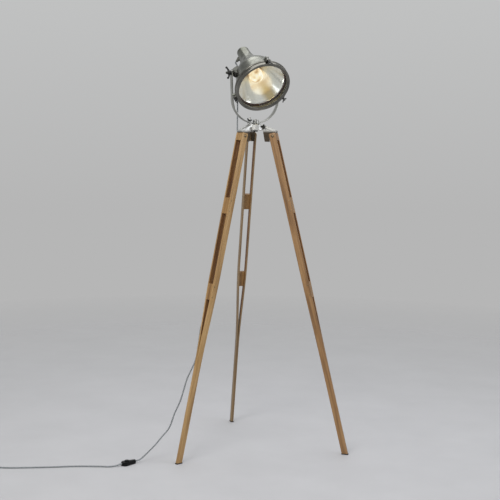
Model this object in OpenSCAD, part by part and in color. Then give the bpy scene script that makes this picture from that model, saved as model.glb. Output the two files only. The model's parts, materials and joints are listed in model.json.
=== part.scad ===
// Spotlight floor lamp on a folding wooden tripod
// Millimetres. Z is up, the floor is Z = 0, and the lamp's front is -Y.
// Each leg is built in its own frame: X away from the lamp's axis, Z up along the leg.
// The head is built in its own frame: Z forward along the beam, Y up, origin on the tilt axis.

/* [Tripod] */
// Distance from the lamp's axis to the middle of each foot
foot_radius = 410; // [390:5:430]
// Height of the three leg hinges
hinge_height = 1330; // [1280:10:1380]
// Distance from the lamp's axis to the leg hinges
hinge_radius = 78.5; // [77:0.5:81]
// Radius of the leg hinge bolts
hinge_bolt_radius = 4; // [3.5:0.25:4.5]

/* [Legs] */
// Thickness of one lath
lath_thickness = 6; // [5:0.5:7]
// Depth of a lath at its top
lath_depth = 30; // [29:0.5:31]
// Depth of a lath at the foot
lath_depth_foot = 25; // [23:0.5:28]
// Gap between the two laths at the hinge
lath_gap = 28; // [27.5:0.5:30]
// How far the laths stand above the hinge bolt
lath_top = 12.5; // [12:0.25:13]
// Share of the leg at which the laths begin to close
bow_start = 0.42; // [0.4:0.01:0.44]
// Share of the leg at which the laths meet
bow_end = 0.72; // [0.7:0.01:0.76]
// Share of the leg at the middle of the upper spacer
upper_spacer_at = 0.217; // [0.18:0.01:0.26]
// Share of the leg at the middle of the lower spacer
lower_spacer_at = 0.48; // [0.46:0.01:0.5]
// Length of a spacer along the leg
spacer_length = 67; // [50:1:75]
// Depth of a spacer, flush with the outer edge of the laths
spacer_depth = 16; // [14:0.5:17]
// Thickness of the rubber under a foot
pad_height = 4; // [3:0.5:6]
// How far the rubber stands out round a foot
pad_margin = 1; // [0.5:0.25:1.5]

/* [Hinge blocks] */
// Height of a block's top above the hinge bolt
block_top = 11.5; // [11:0.25:12]
// How far a block reaches below the hinge bolt
block_below = 21; // [20:0.5:24]
// Thickness of the block's closed outer wall
block_wall = 4.5; // [4:0.25:4.75]
// Height of solid wood under the slot
block_floor = 9; // [7:0.5:9]

/* [Crown] */
// Radius of the hub
hub_radius = 36.5; // [36:0.5:39]
// Height of the hub
hub_height = 25; // [22:0.5:28]
// Height of the hub's top above the leg hinges
hub_rise = 48; // [46:0.5:50]
// Width of an arm
arm_width = 26; // [22:0.5:27]
// Thickness of an arm, measured upright
arm_thickness = 8.6; // [7.5:0.1:9.5]
// Reach of an arm beyond the hinge bolt
arm_reach = 13.5; // [12.5:0.25:14]
// Thickness of a lug
lug_thickness = 12; // [10:0.5:13]
// Radius of a lug's eye
eye_radius = 10; // [9.5:0.1:10]
// Radius of the centre bolt
centre_bolt_radius = 5; // [4.5:0.25:6]
// Radius of the domed centre nut
centre_nut_radius = 12.5; // [11:0.5:13.5]
// Height of the domed centre nut
centre_nut_height = 12.5; // [11:0.5:15]
// Azimuth of the hub's clamp screw from the front, toward the viewer's right
hub_screw_azimuth = 30; // [24:1:36]

/* [Yoke] */
// Height of the tilt axis above the middle of the yoke's bend
pivot_rise = 108; // [106:1:116]
// Lean of the yoke on its seat, toward the viewer's left
yoke_lean = 2.5; // [0:0.25:3]
// Gap between the shell's shoulder and the yoke
yoke_gap = 16; // [16:0.5:19]
// Thickness of the flat bar
yoke_thickness = 4; // [3.5:0.25:5]
// Width of the flat bar
yoke_width = 23; // [22:0.5:24]
// Turn of the yoke and head toward the viewer's right
pan_angle = 9; // [-10:0.5:15]
// Radius of the tilt studs
stud_radius = 5; // [4.5:0.25:5.5]
// Span of the wing nuts on the tilt axis
tilt_nut_span = 54; // [48:1:58]
// Angle round the bar from its lowest point to the swivel lock bolt
lock_angle = 17.5; // [17:0.5:19]
// Radius of the swivel lock bolt
lock_radius = 4; // [3.5:0.25:4]

/* [Head] */
// Tilt of the head below the horizontal
tilt_angle = 36; // [0:1:38]
// Radius of the neck
neck_radius = 25.5; // [24.5:0.25:27]
// Length from the tilt axis back to the end of the neck's cap
neck_reach = 160; // [152:1:166]
// Radius at the bell's shoulder
shoulder_radius = 85; // [82:0.5:86]
// How far the shell's mouth stands in from the bezel's rim
mouth_inset = 10; // [9:0.25:11]
// Distance from the tilt axis to the front of the shell
mouth_reach = 84.8; // [80:0.2:90]
// Thickness of the sheet metal
shell_wall = 2; // [1.5:0.25:2.5]
// Outer radius of the bezel ring
bezel_radius = 116.5; // [116:0.25:117.5]
// Depth of the bezel ring
bezel_depth = 24; // [22:0.5:26]
// Width of the bezel's front, from its rim in to the window
rim_width = 16.5; // [15.5:0.25:18]
// Thickness of the front glass
glass_thickness = 4; // [3:0.25:5]
// Thickness of the sealing ring
gasket_thickness = 2; // [1.5:0.25:3]

/* [Latches] */
// Distance from the bezel's rim out to the latch pins
latch_out = 6.5; // [6:0.25:7.5]
// Distance from the front of the shell back to the latch pins
latch_setback = 7.8; // [7.5:0.1:8.5]
// Radius of a swing bolt
latch_bolt_radius = 2.5; // [2:0.25:2.75]
// Reach of a bezel ear beyond the swing bolt's middle
ear_reach = 5; // [4.5:0.25:5.5]
// Span of a latch's wing nut
latch_nut_span = 24; // [20:1:26]

/* [Cord] */
// Diameter of the cord
cord_diameter = 6; // [5:0.5:6]
// Middle of the coil, sideways from the lamp's axis
coil_x = -1130; // [-1200:5:-1125]
// Loops in the put-away coil
coil_loops = 6; // [4:2:8]
// Half of the gap in a running fit
running_gap = 0.08; // [0.05:0.01:0.1]

/* [Hidden] */
$fn = 64;
leg_angles = [210, 330, 90];
lean = atan((foot_radius - hinge_radius) / hinge_height);
leg_length = norm([foot_radius - hinge_radius, hinge_height]);
face_gap = 0.1;
seat_gap = 0.06;
// Gap between round pieces that turn past one another
turn_gap = 0.35;
half_foot = lath_thickness + pad_margin;
foot_reach = foot_radius + (lath_depth_foot / 2 + pad_margin) / cos(lean);
// The lamp's axis stands back from the middle of the box round the three feet
axis_y = -(foot_reach - (foot_reach / 2 + half_foot * sqrt(3) / 2)) / 2;

// The laths' half gap along the leg, as shares of the leg's length
gap_top = lath_gap / 2;
gap_bow = lath_gap / 2 - 1;
bow_steps = 10;
function smooth(t) = t * t * (3 - 2 * t);
bow_table = [for (i = [0 : bow_steps])
  [bow_start + (bow_end - bow_start) * i / bow_steps, gap_bow * (1 - smooth(i / bow_steps))]];
gap_table = concat([[0, gap_top]], bow_table);
function half_gap(share) = lookup(share, gap_table);

// Crown: the outer top corner of a hinge block is the stop of the spread leg
stop_r = hinge_radius + lath_depth / 2 * cos(lean) - block_top * sin(lean);
stop_z = hinge_height + lath_depth / 2 * sin(lean) + block_top * cos(lean) + face_gap;
hub_top = hinge_height + hub_rise;
hub_bottom = hub_top - hub_height;
hub_chamfer = 1.8;
// An arm starts inside the hub, just under its top, and slopes down to the stop
arm_root = hub_radius - 6.5;
arm_lip = 0.5;
arm_slope = atan((hub_top - arm_lip - arm_thickness - stop_z) / (stop_r - arm_root));
function arm_under(r) = stop_z + (stop_r - r) * tan(arm_slope);
function arm_over(r) = arm_under(r) + arm_thickness;
hub_screw_z = hub_top - 10;
hub_screw_radius = 3;
lug_inner = hub_radius + 4.5;
lug_outer = hinge_radius - lath_depth / 2 - 3.5;
lug_drop = 23;
washer_thickness = 2;

// Yoke
yoke_inner = shoulder_radius + yoke_gap;
yoke_outer = yoke_inner + yoke_thickness;
yoke_base = hub_top + washer_thickness + face_gap;
arc_z = yoke_base + yoke_outer;
pivot_height = arc_z + pivot_rise;
// The bar leans about the middle of its seat, and stands up by what its round underside sinks
lean_lift = yoke_outer * (1 - cos(yoke_lean));
boss_radius = 15;
boss_far = boss_radius + yoke_outer * sin(yoke_lean);
boss_top = arc_z - sqrt(yoke_inner * yoke_inner - boss_far * boss_far) + 0.2;
lock_tip = (arc_z - hub_top - turn_gap) / cos(lock_angle);
lock_stand = 20;
lock_head_radius = 7;

// Head, in distances forward of the tilt axis
bell_back = -80;
bell_back_radius = 32;
bell_front = 10;
bell_steps = 8;
mouth_radius = bezel_radius - mouth_inset;
flange_radius = bezel_radius - 2.5;
window_radius = bezel_radius - rim_width;
latch_radius = bezel_radius + latch_out;
flange_thickness = 2;
reflector_wall = 1.2;
gasket_front = mouth_reach + reflector_wall + gasket_thickness;
bezel_front = gasket_front + bezel_depth;
window_depth = 10;
glass_front = bezel_front - window_depth;
glass_back = glass_front - glass_thickness;
glass_radius = window_radius + 4;
reflector_back = -38;
reflector_back_radius = 22;
cap_length = 9;
latch_pin = mouth_reach - latch_setback;
ear_back = gasket_front + 3;
ear_front = ear_back + 8;
ear_distance = ear_front - latch_pin;
// The nut stands off the ear so that the swing bolt clears it
latch_nut_gap = ear_reach * ear_reach / (2 * ear_distance) + 0.4;
latch_nut_base = ear_distance + latch_nut_gap;
latch_nut_hub = 5.4;
latch_wing_start = bezel_front - latch_pin + 0.8 - latch_nut_base;
latch_angles = [90, 210, 330];
gland_back = 25 - neck_reach;
gland_core = 6;
gland_angle = 215;
gland_reach = 47;

function cubic(t, a, b, slope_a, slope_b) =
  (2 * t * t * t - 3 * t * t + 1) * a + (t * t * t - 2 * t * t + t) * slope_a
  + (3 * t * t - 2 * t * t * t) * b + (t * t * t - t * t) * slope_b;
bell_length = bell_front - bell_back;
bell_curve = [for (i = [0 : bell_steps])
  [cubic(i / bell_steps, bell_back_radius, shoulder_radius, 0.12 * bell_length, 0.3 * bell_length),
   bell_back + bell_length * i / bell_steps]];
neck_end = -neck_reach + cap_length;
shell_curve = concat([[neck_radius, neck_end], [neck_radius + 2, -112]], bell_curve,
  [[mouth_radius, mouth_reach]]);
// The reflector is a parabola between its rear opening and the front of the shell
dish_back = reflector_back;
dish_front = mouth_reach;
dish_mouth = window_radius - 2;
dish_rate = (dish_mouth * dish_mouth - reflector_back_radius * reflector_back_radius)
  / (dish_front - dish_back);
dish_steps = 10;
function dish_s(r) = dish_back
  + (r * r - reflector_back_radius * reflector_back_radius) / dish_rate;
dish_curve = [for (i = [0 : dish_steps])
  let (r = reflector_back_radius + (dish_mouth - reflector_back_radius) * i / dish_steps)
  [r, dish_s(r)]];

// Cord: points are placed by hand and move with the sizes they belong to
cord_radius = cord_diameter / 2;
cord_sides = 8;
cord_lift = cord_radius + 0.3;
function turn_z(v, a) = [v[0] * cos(a) - v[1] * sin(a), v[0] * sin(a) + v[1] * cos(a), v[2]];
function turn_x(v, a) = [v[0], v[1] * cos(a) - v[2] * sin(a), v[1] * sin(a) + v[2] * cos(a)];
function turn_y(v, a) = [v[0] * cos(a) + v[2] * sin(a), v[1], -v[0] * sin(a) + v[2] * cos(a)];
function on_bar(v) = turn_z(turn_y(v, -yoke_lean) + [0, 0, yoke_base + lean_lift], pan_angle)
  + [0, axis_y, 0];
function on_head(v) = on_bar(turn_x(v, 90 + tilt_angle) + [0, 0, pivot_height - yoke_base]);
function on_left_leg(v) = turn_z(turn_y(v, -lean) + [hinge_radius, 0, hinge_height], leg_angles[0])
  + [0, axis_y, 0];
function gland_point(d) = on_head([sin(gland_angle) * d, cos(gland_angle) * d, gland_back]);
yoke_span = pivot_height - yoke_base;
function on_yoke(x, y, share) = [x, y + axis_y, yoke_base + yoke_span * share];
drop_scale = hinge_height / 1330;
spread_scale = foot_radius / 410;
function on_floor(x, y, z) = [x * spread_scale, y * spread_scale + axis_y,
  z > 12 ? z * drop_scale : z];

// Middle of the cord in the leg's channel, inward of the leg's middle
cord_depth = -8.5;
// Where the cord passes from one moving part to the next it is cut square, with a small gap
head_cut = on_yoke(-72, 31, 0.222);
head_way = unit(on_yoke(-73.2, 27, 0.16) - on_yoke(-70.6, 37, 0.3));
yoke_cut = on_yoke(-75.5, 17, 0.02);
yoke_way = unit(on_yoke(-76, 14.5, -0.015) - on_yoke(-75.2, 18.6, 0.045));
head_points = [gland_point(gland_reach), gland_point(gland_reach + 7), on_yoke(-54, 129, 1.14),
  on_yoke(-56, 117, 1.03), on_yoke(-60, 90, 0.79), on_yoke(-66, 62, 0.56),
  head_cut - 6 * head_way, head_cut - 0.5 * head_way];
yoke_points = [head_cut + 0.5 * head_way, head_cut + 6 * head_way, yoke_cut - 6 * yoke_way,
  yoke_cut - 0.9 * yoke_way];
leg_points = [yoke_cut + 0.9 * yoke_way, yoke_cut + 6 * yoke_way, on_left_leg([-4, -36, 16]),
  on_left_leg([-11, -34, -2]), on_left_leg([-19, -28, -22]), on_left_leg([-22, -20, -40]),
  on_left_leg([-21, -10, -60]), on_left_leg([-15, -2, -85]), on_left_leg([-9.5, 1, -115]),
  on_left_leg([cord_depth, 0, -150])];
// The cord leaves the channel under the lower spacer
channel_end = lower_spacer_at * leg_length + spacer_length / 2;
function below_spacer(x, y, down) = on_left_leg([x, y, -channel_end - down]);
channel_points = [on_left_leg([cord_depth, 0, -150]), on_left_leg([cord_depth, 0, -400]),
  below_spacer(cord_depth, 0, -1)];
exit_points = [below_spacer(cord_depth, 0, -1), below_spacer(-12, -0.5, 26),
  below_spacer(-19, -4, 47), below_spacer(-23, -11, 67), below_spacer(-17, -19, 87),
  below_spacer(-6, -22.6, 102), below_spacer(-2.2, -22.9, 108)];
drop_points = [below_spacer(-1.8, -23, 109), below_spacer(1, -23.4, 117),
  on_floor(-258, -120, 493), on_floor(-270, -121, 416),
  on_floor(-291, -124, 369), on_floor(-310, -126, 328), on_floor(-335, -129, 246),
  on_floor(-360, -132, 193), on_floor(-382, -135, 135), on_floor(-413, -139, 99),
  on_floor(-443, -142, 65), on_floor(-472, -146, 38), on_floor(-491, -149.5, 22),
  on_floor(-506, -154, 12), on_floor(-520, -160, 9.5), on_floor(-527, -163.5, 9.5)];
// Foot switch, between the hanging cord and the run along the floor
switch_right = on_floor(-527, -163.5, 9.5);
switch_turn = 206.6;
switch_length = 66;
switch_radius = 16;
switch_height = 16;
button_x = 8;
button_radius = 10;
button_floor = 6;
plug_length = 47;
switch_middle = switch_right + turn_z([switch_length / 2, 0, 0], switch_turn);
switch_left = switch_right + turn_z([switch_length, 0, 0], switch_turn);
coil_centre = [coil_x, axis_y - 172];
coil_radius = 7.4 * cord_diameter;
coil_pitch = cord_diameter + 0.75;
coil_rings = 24;
coil_lift = cord_radius + 1.5;
coil_lead = 12;
coil_start = [coil_centre[0] + coil_lead, coil_centre[1] + coil_radius, coil_lift];
floor_points = [switch_left, switch_left + turn_z([8, 0, 0], switch_turn),
  on_floor(-612, -200, 5), on_floor(-640, -201, cord_lift), on_floor(-676, -190, cord_lift),
  on_floor(-771, -170, cord_lift), on_floor(-870, -162, cord_lift), on_floor(-969, -150, cord_lift),
  on_floor(-1040, -138, cord_lift),
  [coil_start[0] + 40, coil_start[1] + 3, cord_lift], coil_start + [7, 0, 0], coil_start];

function curve_point(a, b, c, d, t) = 0.5 * (2 * b + (c - a) * t
  + (2 * a - 5 * b + 4 * c - d) * t * t + (3 * b - a - 3 * c + d) * t * t * t);
function smooth_path(p, n) = [for (i = [0 : len(p) - 2]) for (k = [0 : n - 1])
  curve_point(p[max(i - 1, 0)], p[i], p[i + 1], p[min(i + 2, len(p) - 1)], k / n), p[len(p) - 1]];
// The first and the last stretch stay straight, so that the cord's cut ends are square
function straight_ended(p, n) = concat([p[0]],
  smooth_path([for (i = [1 : len(p) - 2]) p[i]], n), [p[len(p) - 1]]);
function unit(v) = v / norm(v);
function heading(p, i) = unit(p[min(i + 1, len(p) - 1)] - p[max(i - 1, 0)]);
function ring(p, i, r, sides, side_axis) =
  let (u = unit(cross(side_axis, heading(p, i))), v = cross(heading(p, i), u))
  [for (k = [0 : sides - 1]) p[i] + r * (cos(360 * k / sides) * u + sin(360 * k / sides) * v)];

// Coil: inward on the floor, up a layer in the turn where it reverses, and outward again
function coil_fall(t) = coil_pitch * (t < coil_loops / 2 ? t : coil_loops - t);
function coil_climb(t) = coil_pitch * smooth(min(1, max(0, (t - coil_loops / 2 + 0.25) * 2)));
function coil_point(t) = [coil_centre[0] + (coil_radius - coil_fall(t)) * cos(90 + 360 * t),
  coil_centre[1] + (coil_radius - coil_fall(t)) * sin(90 + 360 * t), coil_lift + coil_climb(t)];
coil_turns = [for (i = [0 : coil_loops * coil_rings]) coil_point(i / coil_rings)];
coil_end = coil_turns[len(coil_turns) - 1] - [coil_lead + 8, 0, 0];
coil_points = concat([coil_start, coil_start - [6, 0, 0]], coil_turns,
  [coil_end + [6, 0, 0], coil_end]);
coil_gaps = [for (i = [0 : len(coil_turns) - 1]) for (j = [i + 10 : 1 : len(coil_turns) - 1])
  norm(coil_turns[i] - coil_turns[j])];
echo(least_gap_in_coil = min(coil_gaps) - cord_diameter);
function path_length(p) = len(p) < 2 ? 0
  : [for (i = 0, s = 0; i < len(p); s = s + (i + 1 < len(p) ? norm(p[i + 1] - p[i]) : 0), i = i + 1)
    s][len(p) - 1];
cord_length = path_length(head_points) + path_length(yoke_points) + path_length(leg_points)
  + path_length(channel_points) + path_length(exit_points) + path_length(drop_points)
  + path_length(floor_points) + path_length(coil_points);
echo(cord_length = cord_length, lean = lean, axis_y = axis_y, hub_top = hub_top);
echo(lamp_axis_points = [for (p = [head_points[0], leg_points[2], drop_points[0], switch_left,
  coil_end]) p - [0, axis_y, 0]]);

// ---- Shared shapes ----

// A bore along Z
module bore(r, h) {
  translate([0, 0, -h / 2])
    cylinder(r = r, h = h);
}

// A wing nut along Z, its base on Z = 0
module wing_nut(bolt_r, hub_r, wing_start, wing_height, span, thickness) {
  tip = wing_height * 0.28;
  top = wing_start + wing_height;
  difference() {
    union() {
      cylinder(r1 = hub_r, r2 = hub_r * 0.86, h = wing_start + wing_height * 0.55);
      for (side = [-1, 1])
        rotate([90, 0, 0])
          linear_extrude(height = thickness, center = true) {
            polygon([[0, wing_start], [side * hub_r, wing_start],
              [side * (span / 2), top - tip], [side * (span / 2 - 2 * tip), top - tip],
              [0, wing_start + wing_height * 0.5]]);
            translate([side * (span / 2 - tip), top - tip])
              circle(r = tip, $fn = 32);
          }
    }
    bore(bolt_r + running_gap, 200);
  }
}

// A round tube swept through a list of points
module tube(p, r, sides, side_axis) {
  n = len(p);
  rings = [for (i = [0 : n - 1]) ring(p, i, r, sides, side_axis)];
  walls = [for (i = [0 : n - 2]) for (k = [0 : sides - 1])
    let (a = i * sides + k, b = i * sides + (k + 1) % sides)
    each [[a, a + sides, b + sides], [a, b + sides, b]]];
  near_end = [for (k = [0 : sides - 1]) k];
  far_end = [for (k = [0 : sides - 1]) n * sides - 1 - k];
  polyhedron(points = [for (one = rings) each one], faces = concat([near_end], walls, [far_end]));
}

// ---- Legs ----

// Places a leg's frame at its hinge
module place_leg(angle) {
  translate([0, axis_y, 0])
    rotate([0, 0, angle])
      translate([hinge_radius, 0, hinge_height])
        rotate([0, -lean, 0])
          children();
}

// Everything below a height above the floor, in the leg's frame
module below(height) {
  reach = 3 * lath_depth;
  rotate([0, lean, 0])
    translate([foot_radius - hinge_radius - reach, -reach, -hinge_height - reach])
      cube([2 * reach, 2 * reach, reach + height]);
}

// Side outline of a leg with a margin, straight from hinge to foot
module leg_outline(margin) {
  top = lath_depth / 2 + margin;
  foot = lath_depth_foot / 2 + margin;
  corner = 3;
  rotate([90, 0, 0])
    linear_extrude(height = 4 * lath_gap, center = true)
      polygon([[-top, lath_top - corner], [corner - top, lath_top], [top - corner, lath_top],
        [top, lath_top - corner], [foot, -leg_length], [foot, -leg_length * 1.02],
        [-foot, -leg_length * 1.02], [-foot, -leg_length]]);
}

// Extrudes an outline of tangential and lengthwise distances along X
module across(depth) {
  rotate([90, 0, 90])
    linear_extrude(height = depth, center = true)
      children();
}

module lath(side) {
  shares = concat([-0.05], [for (row = gap_table) row[0]], [1.05]);
  inner = [for (s = shares) [side * half_gap(s), -s * leg_length]];
  outer = [for (i = [len(shares) - 1 : -1 : 0])
    [side * (half_gap(shares[i]) + lath_thickness), -shares[i] * leg_length]];
  difference() {
    intersection() {
      across(2 * lath_depth)
        polygon(concat(inner, outer));
      leg_outline(0);
    }
    rotate([90, 0, 0])
      bore(hinge_bolt_radius + seat_gap, 4 * lath_gap);
    below(pad_height);
  }
}

// Wood filling the gap between the laths over a stretch of the leg
module filler(from_z, to_z) {
  a = -from_z / leg_length;
  b = -to_z / leg_length;
  shares = concat([a], [for (row = gap_table) if (row[0] > a && row[0] < b) row[0]], [b]);
  left = [for (s = shares) [half_gap(s), -s * leg_length]];
  right = [for (i = [len(shares) - 1 : -1 : 0]) [-half_gap(shares[i]), -shares[i] * leg_length]];
  across(2 * lath_depth)
    polygon(concat(left, right));
}

module hinge_block() {
  slot = lug_thickness + 0.8;
  slot_z = block_floor - block_below;
  difference() {
    intersection() {
      filler(block_top, -block_below);
      leg_outline(0);
    }
    translate([-lath_depth, -slot / 2, slot_z])
      cube([lath_depth * 1.5 - block_wall, slot, block_top - slot_z + 1]);
    rotate([90, 0, 0])
      bore(hinge_bolt_radius + seat_gap, 4 * lath_gap);
  }
}

module spacer(share) {
  z = -share * leg_length;
  intersection() {
    filler(z + spacer_length / 2, z - spacer_length / 2);
    leg_outline(0);
    translate([lath_depth / 2 - spacer_depth, -lath_gap, z - spacer_length])
      cube([spacer_depth + 1, 2 * lath_gap, 2 * spacer_length]);
  }
}

module foot_pad() {
  intersection() {
    leg_outline(pad_margin);
    below(pad_height);
    rotate([0, lean, 0])
      translate([foot_radius - hinge_radius - 2 * lath_depth, -half_foot, -hinge_height])
        cube([4 * lath_depth, 2 * half_foot, pad_height + 1]);
  }
}

module hinge_bolt() {
  reach = half_gap(0) + lath_thickness;
  rotate([90, 0, 0]) {
    bore(hinge_bolt_radius, 2 * reach + 2);
    for (side = [-1, 1])
      rotate([side < 0 ? 180 : 0, 0, 0])
        translate([0, 0, reach])
          rotate_extrude()
            polygon([[0, 0], [6.5, 0], [6.5, 1], [5.2, 2.4], [2.8, 3.3], [0, 3.5]]);
  }
}

module left_lath_a() { color("#A5875A") place_leg(leg_angles[0]) lath(1); }
module left_lath_b() { color("#A5875A") place_leg(leg_angles[0]) lath(-1); }
module left_hinge_block() { color("#A5875A") place_leg(leg_angles[0]) hinge_block(); }
module left_spacer_upper() { color("#886542") place_leg(leg_angles[0]) spacer(upper_spacer_at); }
module left_spacer_lower() { color("#886542") place_leg(leg_angles[0]) spacer(lower_spacer_at); }
module left_foot_pad() { color("#222222") place_leg(leg_angles[0]) foot_pad(); }
module left_hinge_bolt() { color("#333333") place_leg(leg_angles[0]) hinge_bolt(); }
module right_lath_a() { color("#A5875A") place_leg(leg_angles[1]) lath(1); }
module right_lath_b() { color("#A5875A") place_leg(leg_angles[1]) lath(-1); }
module right_hinge_block() { color("#A5875A") place_leg(leg_angles[1]) hinge_block(); }
module right_spacer_upper() { color("#886542") place_leg(leg_angles[1]) spacer(upper_spacer_at); }
module right_spacer_lower() { color("#886542") place_leg(leg_angles[1]) spacer(lower_spacer_at); }
module right_foot_pad() { color("#222222") place_leg(leg_angles[1]) foot_pad(); }
module right_hinge_bolt() { color("#333333") place_leg(leg_angles[1]) hinge_bolt(); }
module back_lath_a() { color("#A5875A") place_leg(leg_angles[2]) lath(1); }
module back_lath_b() { color("#A5875A") place_leg(leg_angles[2]) lath(-1); }
module back_hinge_block() { color("#A5875A") place_leg(leg_angles[2]) hinge_block(); }
module back_spacer_upper() { color("#886542") place_leg(leg_angles[2]) spacer(upper_spacer_at); }
module back_spacer_lower() { color("#886542") place_leg(leg_angles[2]) spacer(lower_spacer_at); }
module back_foot_pad() { color("#222222") place_leg(leg_angles[2]) foot_pad(); }
module back_hinge_bolt() { color("#333333") place_leg(leg_angles[2]) hinge_bolt(); }

// ---- Crown ----

// Extrudes an outline of radial and vertical distances to a width about the radial plane
module upright(width) {
  rotate([90, 0, 0])
    linear_extrude(height = width, center = true)
      children();
}

module crown_casting() {
  tip = hinge_radius + arm_reach;
  inside = arm_root;
  eye_side = hinge_radius + 5;
  lug_bottom = hinge_height - lug_drop;
  color("#B8B8B4")
    translate([0, axis_y, 0])
      difference() {
        union() {
          rotate_extrude()
            polygon([[0, hub_bottom], [hub_radius - 2.5, hub_bottom],
              [hub_radius, hub_bottom + 2.5], [hub_radius, hub_top - hub_chamfer],
              [hub_radius - hub_chamfer, hub_top], [0, hub_top]]);
          for (angle = leg_angles)
            rotate([0, 0, angle]) {
              upright(arm_width)
                polygon([[inside, arm_under(inside)], [tip, arm_under(tip)],
                  [tip, arm_over(tip) - 2.5], [tip - 3, arm_over(tip - 3)],
                  [inside, arm_over(inside)]]);
              upright(lug_thickness) {
                polygon([[lug_inner, lug_bottom], [lug_inner + 3, lug_bottom - 1.5],
                  [lug_outer, lug_bottom - 1.5], [lug_outer, hinge_height - eye_radius + 1],
                  [hinge_radius, hinge_height - eye_radius + 1], [eye_side, hinge_height],
                  [eye_side, arm_under(eye_side) + 1], [inside, arm_under(inside) + 1],
                  [inside, hub_bottom + 1], [hub_radius - 4, hub_bottom]]);
                translate([hinge_radius, hinge_height])
                  circle(r = eye_radius);
              }
            }
        }
        bore(centre_bolt_radius + seat_gap, 4 * hub_top);
        for (angle = leg_angles)
          rotate([0, 0, angle])
            translate([hinge_radius, 0, hinge_height])
              rotate([90, 0, 0])
                bore(hinge_bolt_radius + running_gap, 2 * lug_thickness);
        rotate([0, 0, hub_screw_azimuth - 90])
          translate([hub_radius - 12, 0, hub_screw_z])
            rotate([0, 90, 0])
              cylinder(r = hub_screw_radius + running_gap, h = 20);
      }
}

module centre_bolt() {
  color("#555555")
    translate([0, axis_y, 0]) {
      translate([0, 0, hub_bottom - 6])
        cylinder(r = 9, h = 6, $fn = 6);
      translate([0, 0, hub_bottom - 1])
        cylinder(r = centre_bolt_radius, h = boss_top + 8 - hub_bottom);
    }
}

module swivel_washer() {
  color("#222222")
    translate([0, axis_y, hub_top])
      difference() {
        cylinder(r = boss_radius + 1, h = washer_thickness);
        bore(centre_bolt_radius + seat_gap, 20);
      }
}

// A domed nut on its washer, the bore blind in the dome
module centre_nut() {
  base = boss_top + face_gap;
  r = centre_nut_radius;
  h = centre_nut_height;
  color("#2A2A2A")
    translate([0, axis_y, base])
      difference() {
        rotate_extrude()
          polygon([[0, 0], [r + 1.5, 0], [r + 1.5, 1.6], [r, 1.6], [r, h * 0.5], [r * 0.9, h * 0.72],
            [r * 0.68, h * 0.9], [r * 0.36, h * 0.98], [0, h]]);
        bore(centre_bolt_radius + seat_gap, 2 * (8.1 - face_gap));
      }
}

// The clamp screw turns in the hub
module hub_screw() {
  color("#1E1E1E")
    translate([0, axis_y, 0])
      rotate([0, 0, hub_screw_azimuth - 90])
        translate([hub_radius - 11.5, 0, hub_screw_z])
          rotate([0, 90, 0]) {
            cylinder(r = hub_screw_radius, h = 16);
            translate([0, 0, 12])
              cylinder(r1 = 4.5, r2 = 5, h = 7);
            upright(3.2) {
              polygon([[-3, 16], [3, 16], [9, 22], [4, 25], [-4, 25], [-9, 22]]);
              for (side = [-1, 1])
                translate([side * 6.5, 22.5])
                  circle(r = 3.6, $fn = 32);
            }
          }
}

// ---- Yoke ----

module place_yoke() {
  translate([0, axis_y, 0])
    rotate([0, 0, pan_angle])
      children();
}

// Places the bent bar and what it carries, leaning on the seat
module place_bar() {
  place_yoke()
    translate([0, 0, yoke_base + lean_lift])
      rotate([0, -yoke_lean, 0])
        translate([0, 0, -yoke_base])
          children();
}

// Puts Z on the lock bolt's axis, outward through the curved bar from the arc's middle
module place_lock() {
  place_bar()
    translate([0, 0, arc_z])
      rotate([0, 180 + lock_angle, 0])
        children();
}

module yoke_bar() {
  color("#8A8A80")
    difference() {
      union() {
        place_bar() {
          difference() {
            translate([0, 0, arc_z])
              rotate([90, 0, 0])
                difference() {
                  bore_solid(yoke_outer, yoke_width);
                  bore_solid(yoke_inner, yoke_width + 2);
                }
            translate([-2 * yoke_outer, -yoke_width, arc_z])
              cube([4 * yoke_outer, 2 * yoke_width, 2 * yoke_outer]);
          }
          for (side = [-1, 1]) {
            translate([side > 0 ? yoke_inner : -yoke_outer, -yoke_width / 2, arc_z])
              cube([yoke_thickness, yoke_width, pivot_rise]);
            translate([side > 0 ? yoke_inner : -yoke_outer, 0, pivot_height])
              rotate([0, 90, 0])
                cylinder(r = yoke_width / 2, h = yoke_thickness);
          }
        }
        place_yoke()
          translate([0, 0, yoke_base])
            cylinder(r = boss_radius, h = boss_top - yoke_base);
      }
      place_yoke()
        translate([0, 0, yoke_base])
          bore(centre_bolt_radius + running_gap, 40);
      place_bar()
        translate([0, 0, pivot_height])
          rotate([0, 90, 0])
            bore(stud_radius + running_gap, 4 * yoke_outer);
      place_lock()
        bore(lock_radius + seat_gap, 4 * yoke_outer);
    }
}

// A cylinder centred on the origin
module bore_solid(r, h) {
  translate([0, 0, -h / 2])
    cylinder(r = r, h = h, $fn = 96);
}

// The bolt's tip is cut level, just above the hub
module lock_bolt() {
  trim = 2 * boss_radius + 30;
  color("#333333")
    difference() {
      place_lock() {
        translate([0, 0, yoke_inner - lock_stand])
          cylinder(r = lock_radius, h = lock_tip - yoke_inner + lock_stand);
        translate([0, 0, yoke_outer + 0.05])
          cylinder(r = lock_head_radius, h = 2.4, $fn = 6);
      }
      translate([-trim, axis_y - trim, hub_top + turn_gap - trim])
        cube([2 * trim, 2 * trim, trim]);
    }
}

module lock_nut() {
  color("#1A1A1A")
    place_lock()
      translate([0, 0, yoke_inner - 0.7])
        rotate([180, 0, 0])
          wing_nut(lock_radius, 6.5, 3, 9, 24, 3.4);
}

module tilt_nut(side) {
  color("#1A1A1A")
    place_bar()
      translate([side * (yoke_outer + turn_gap), 0, pivot_height])
        rotate([0, side * 90, 0])
          rotate([0, 0, 20])
            wing_nut(stud_radius, 10, 4, 16, tilt_nut_span, 5.5);
}

module tilt_nut_left() { tilt_nut(-1); }
module tilt_nut_right() { tilt_nut(1); }

// ---- Head ----

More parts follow.
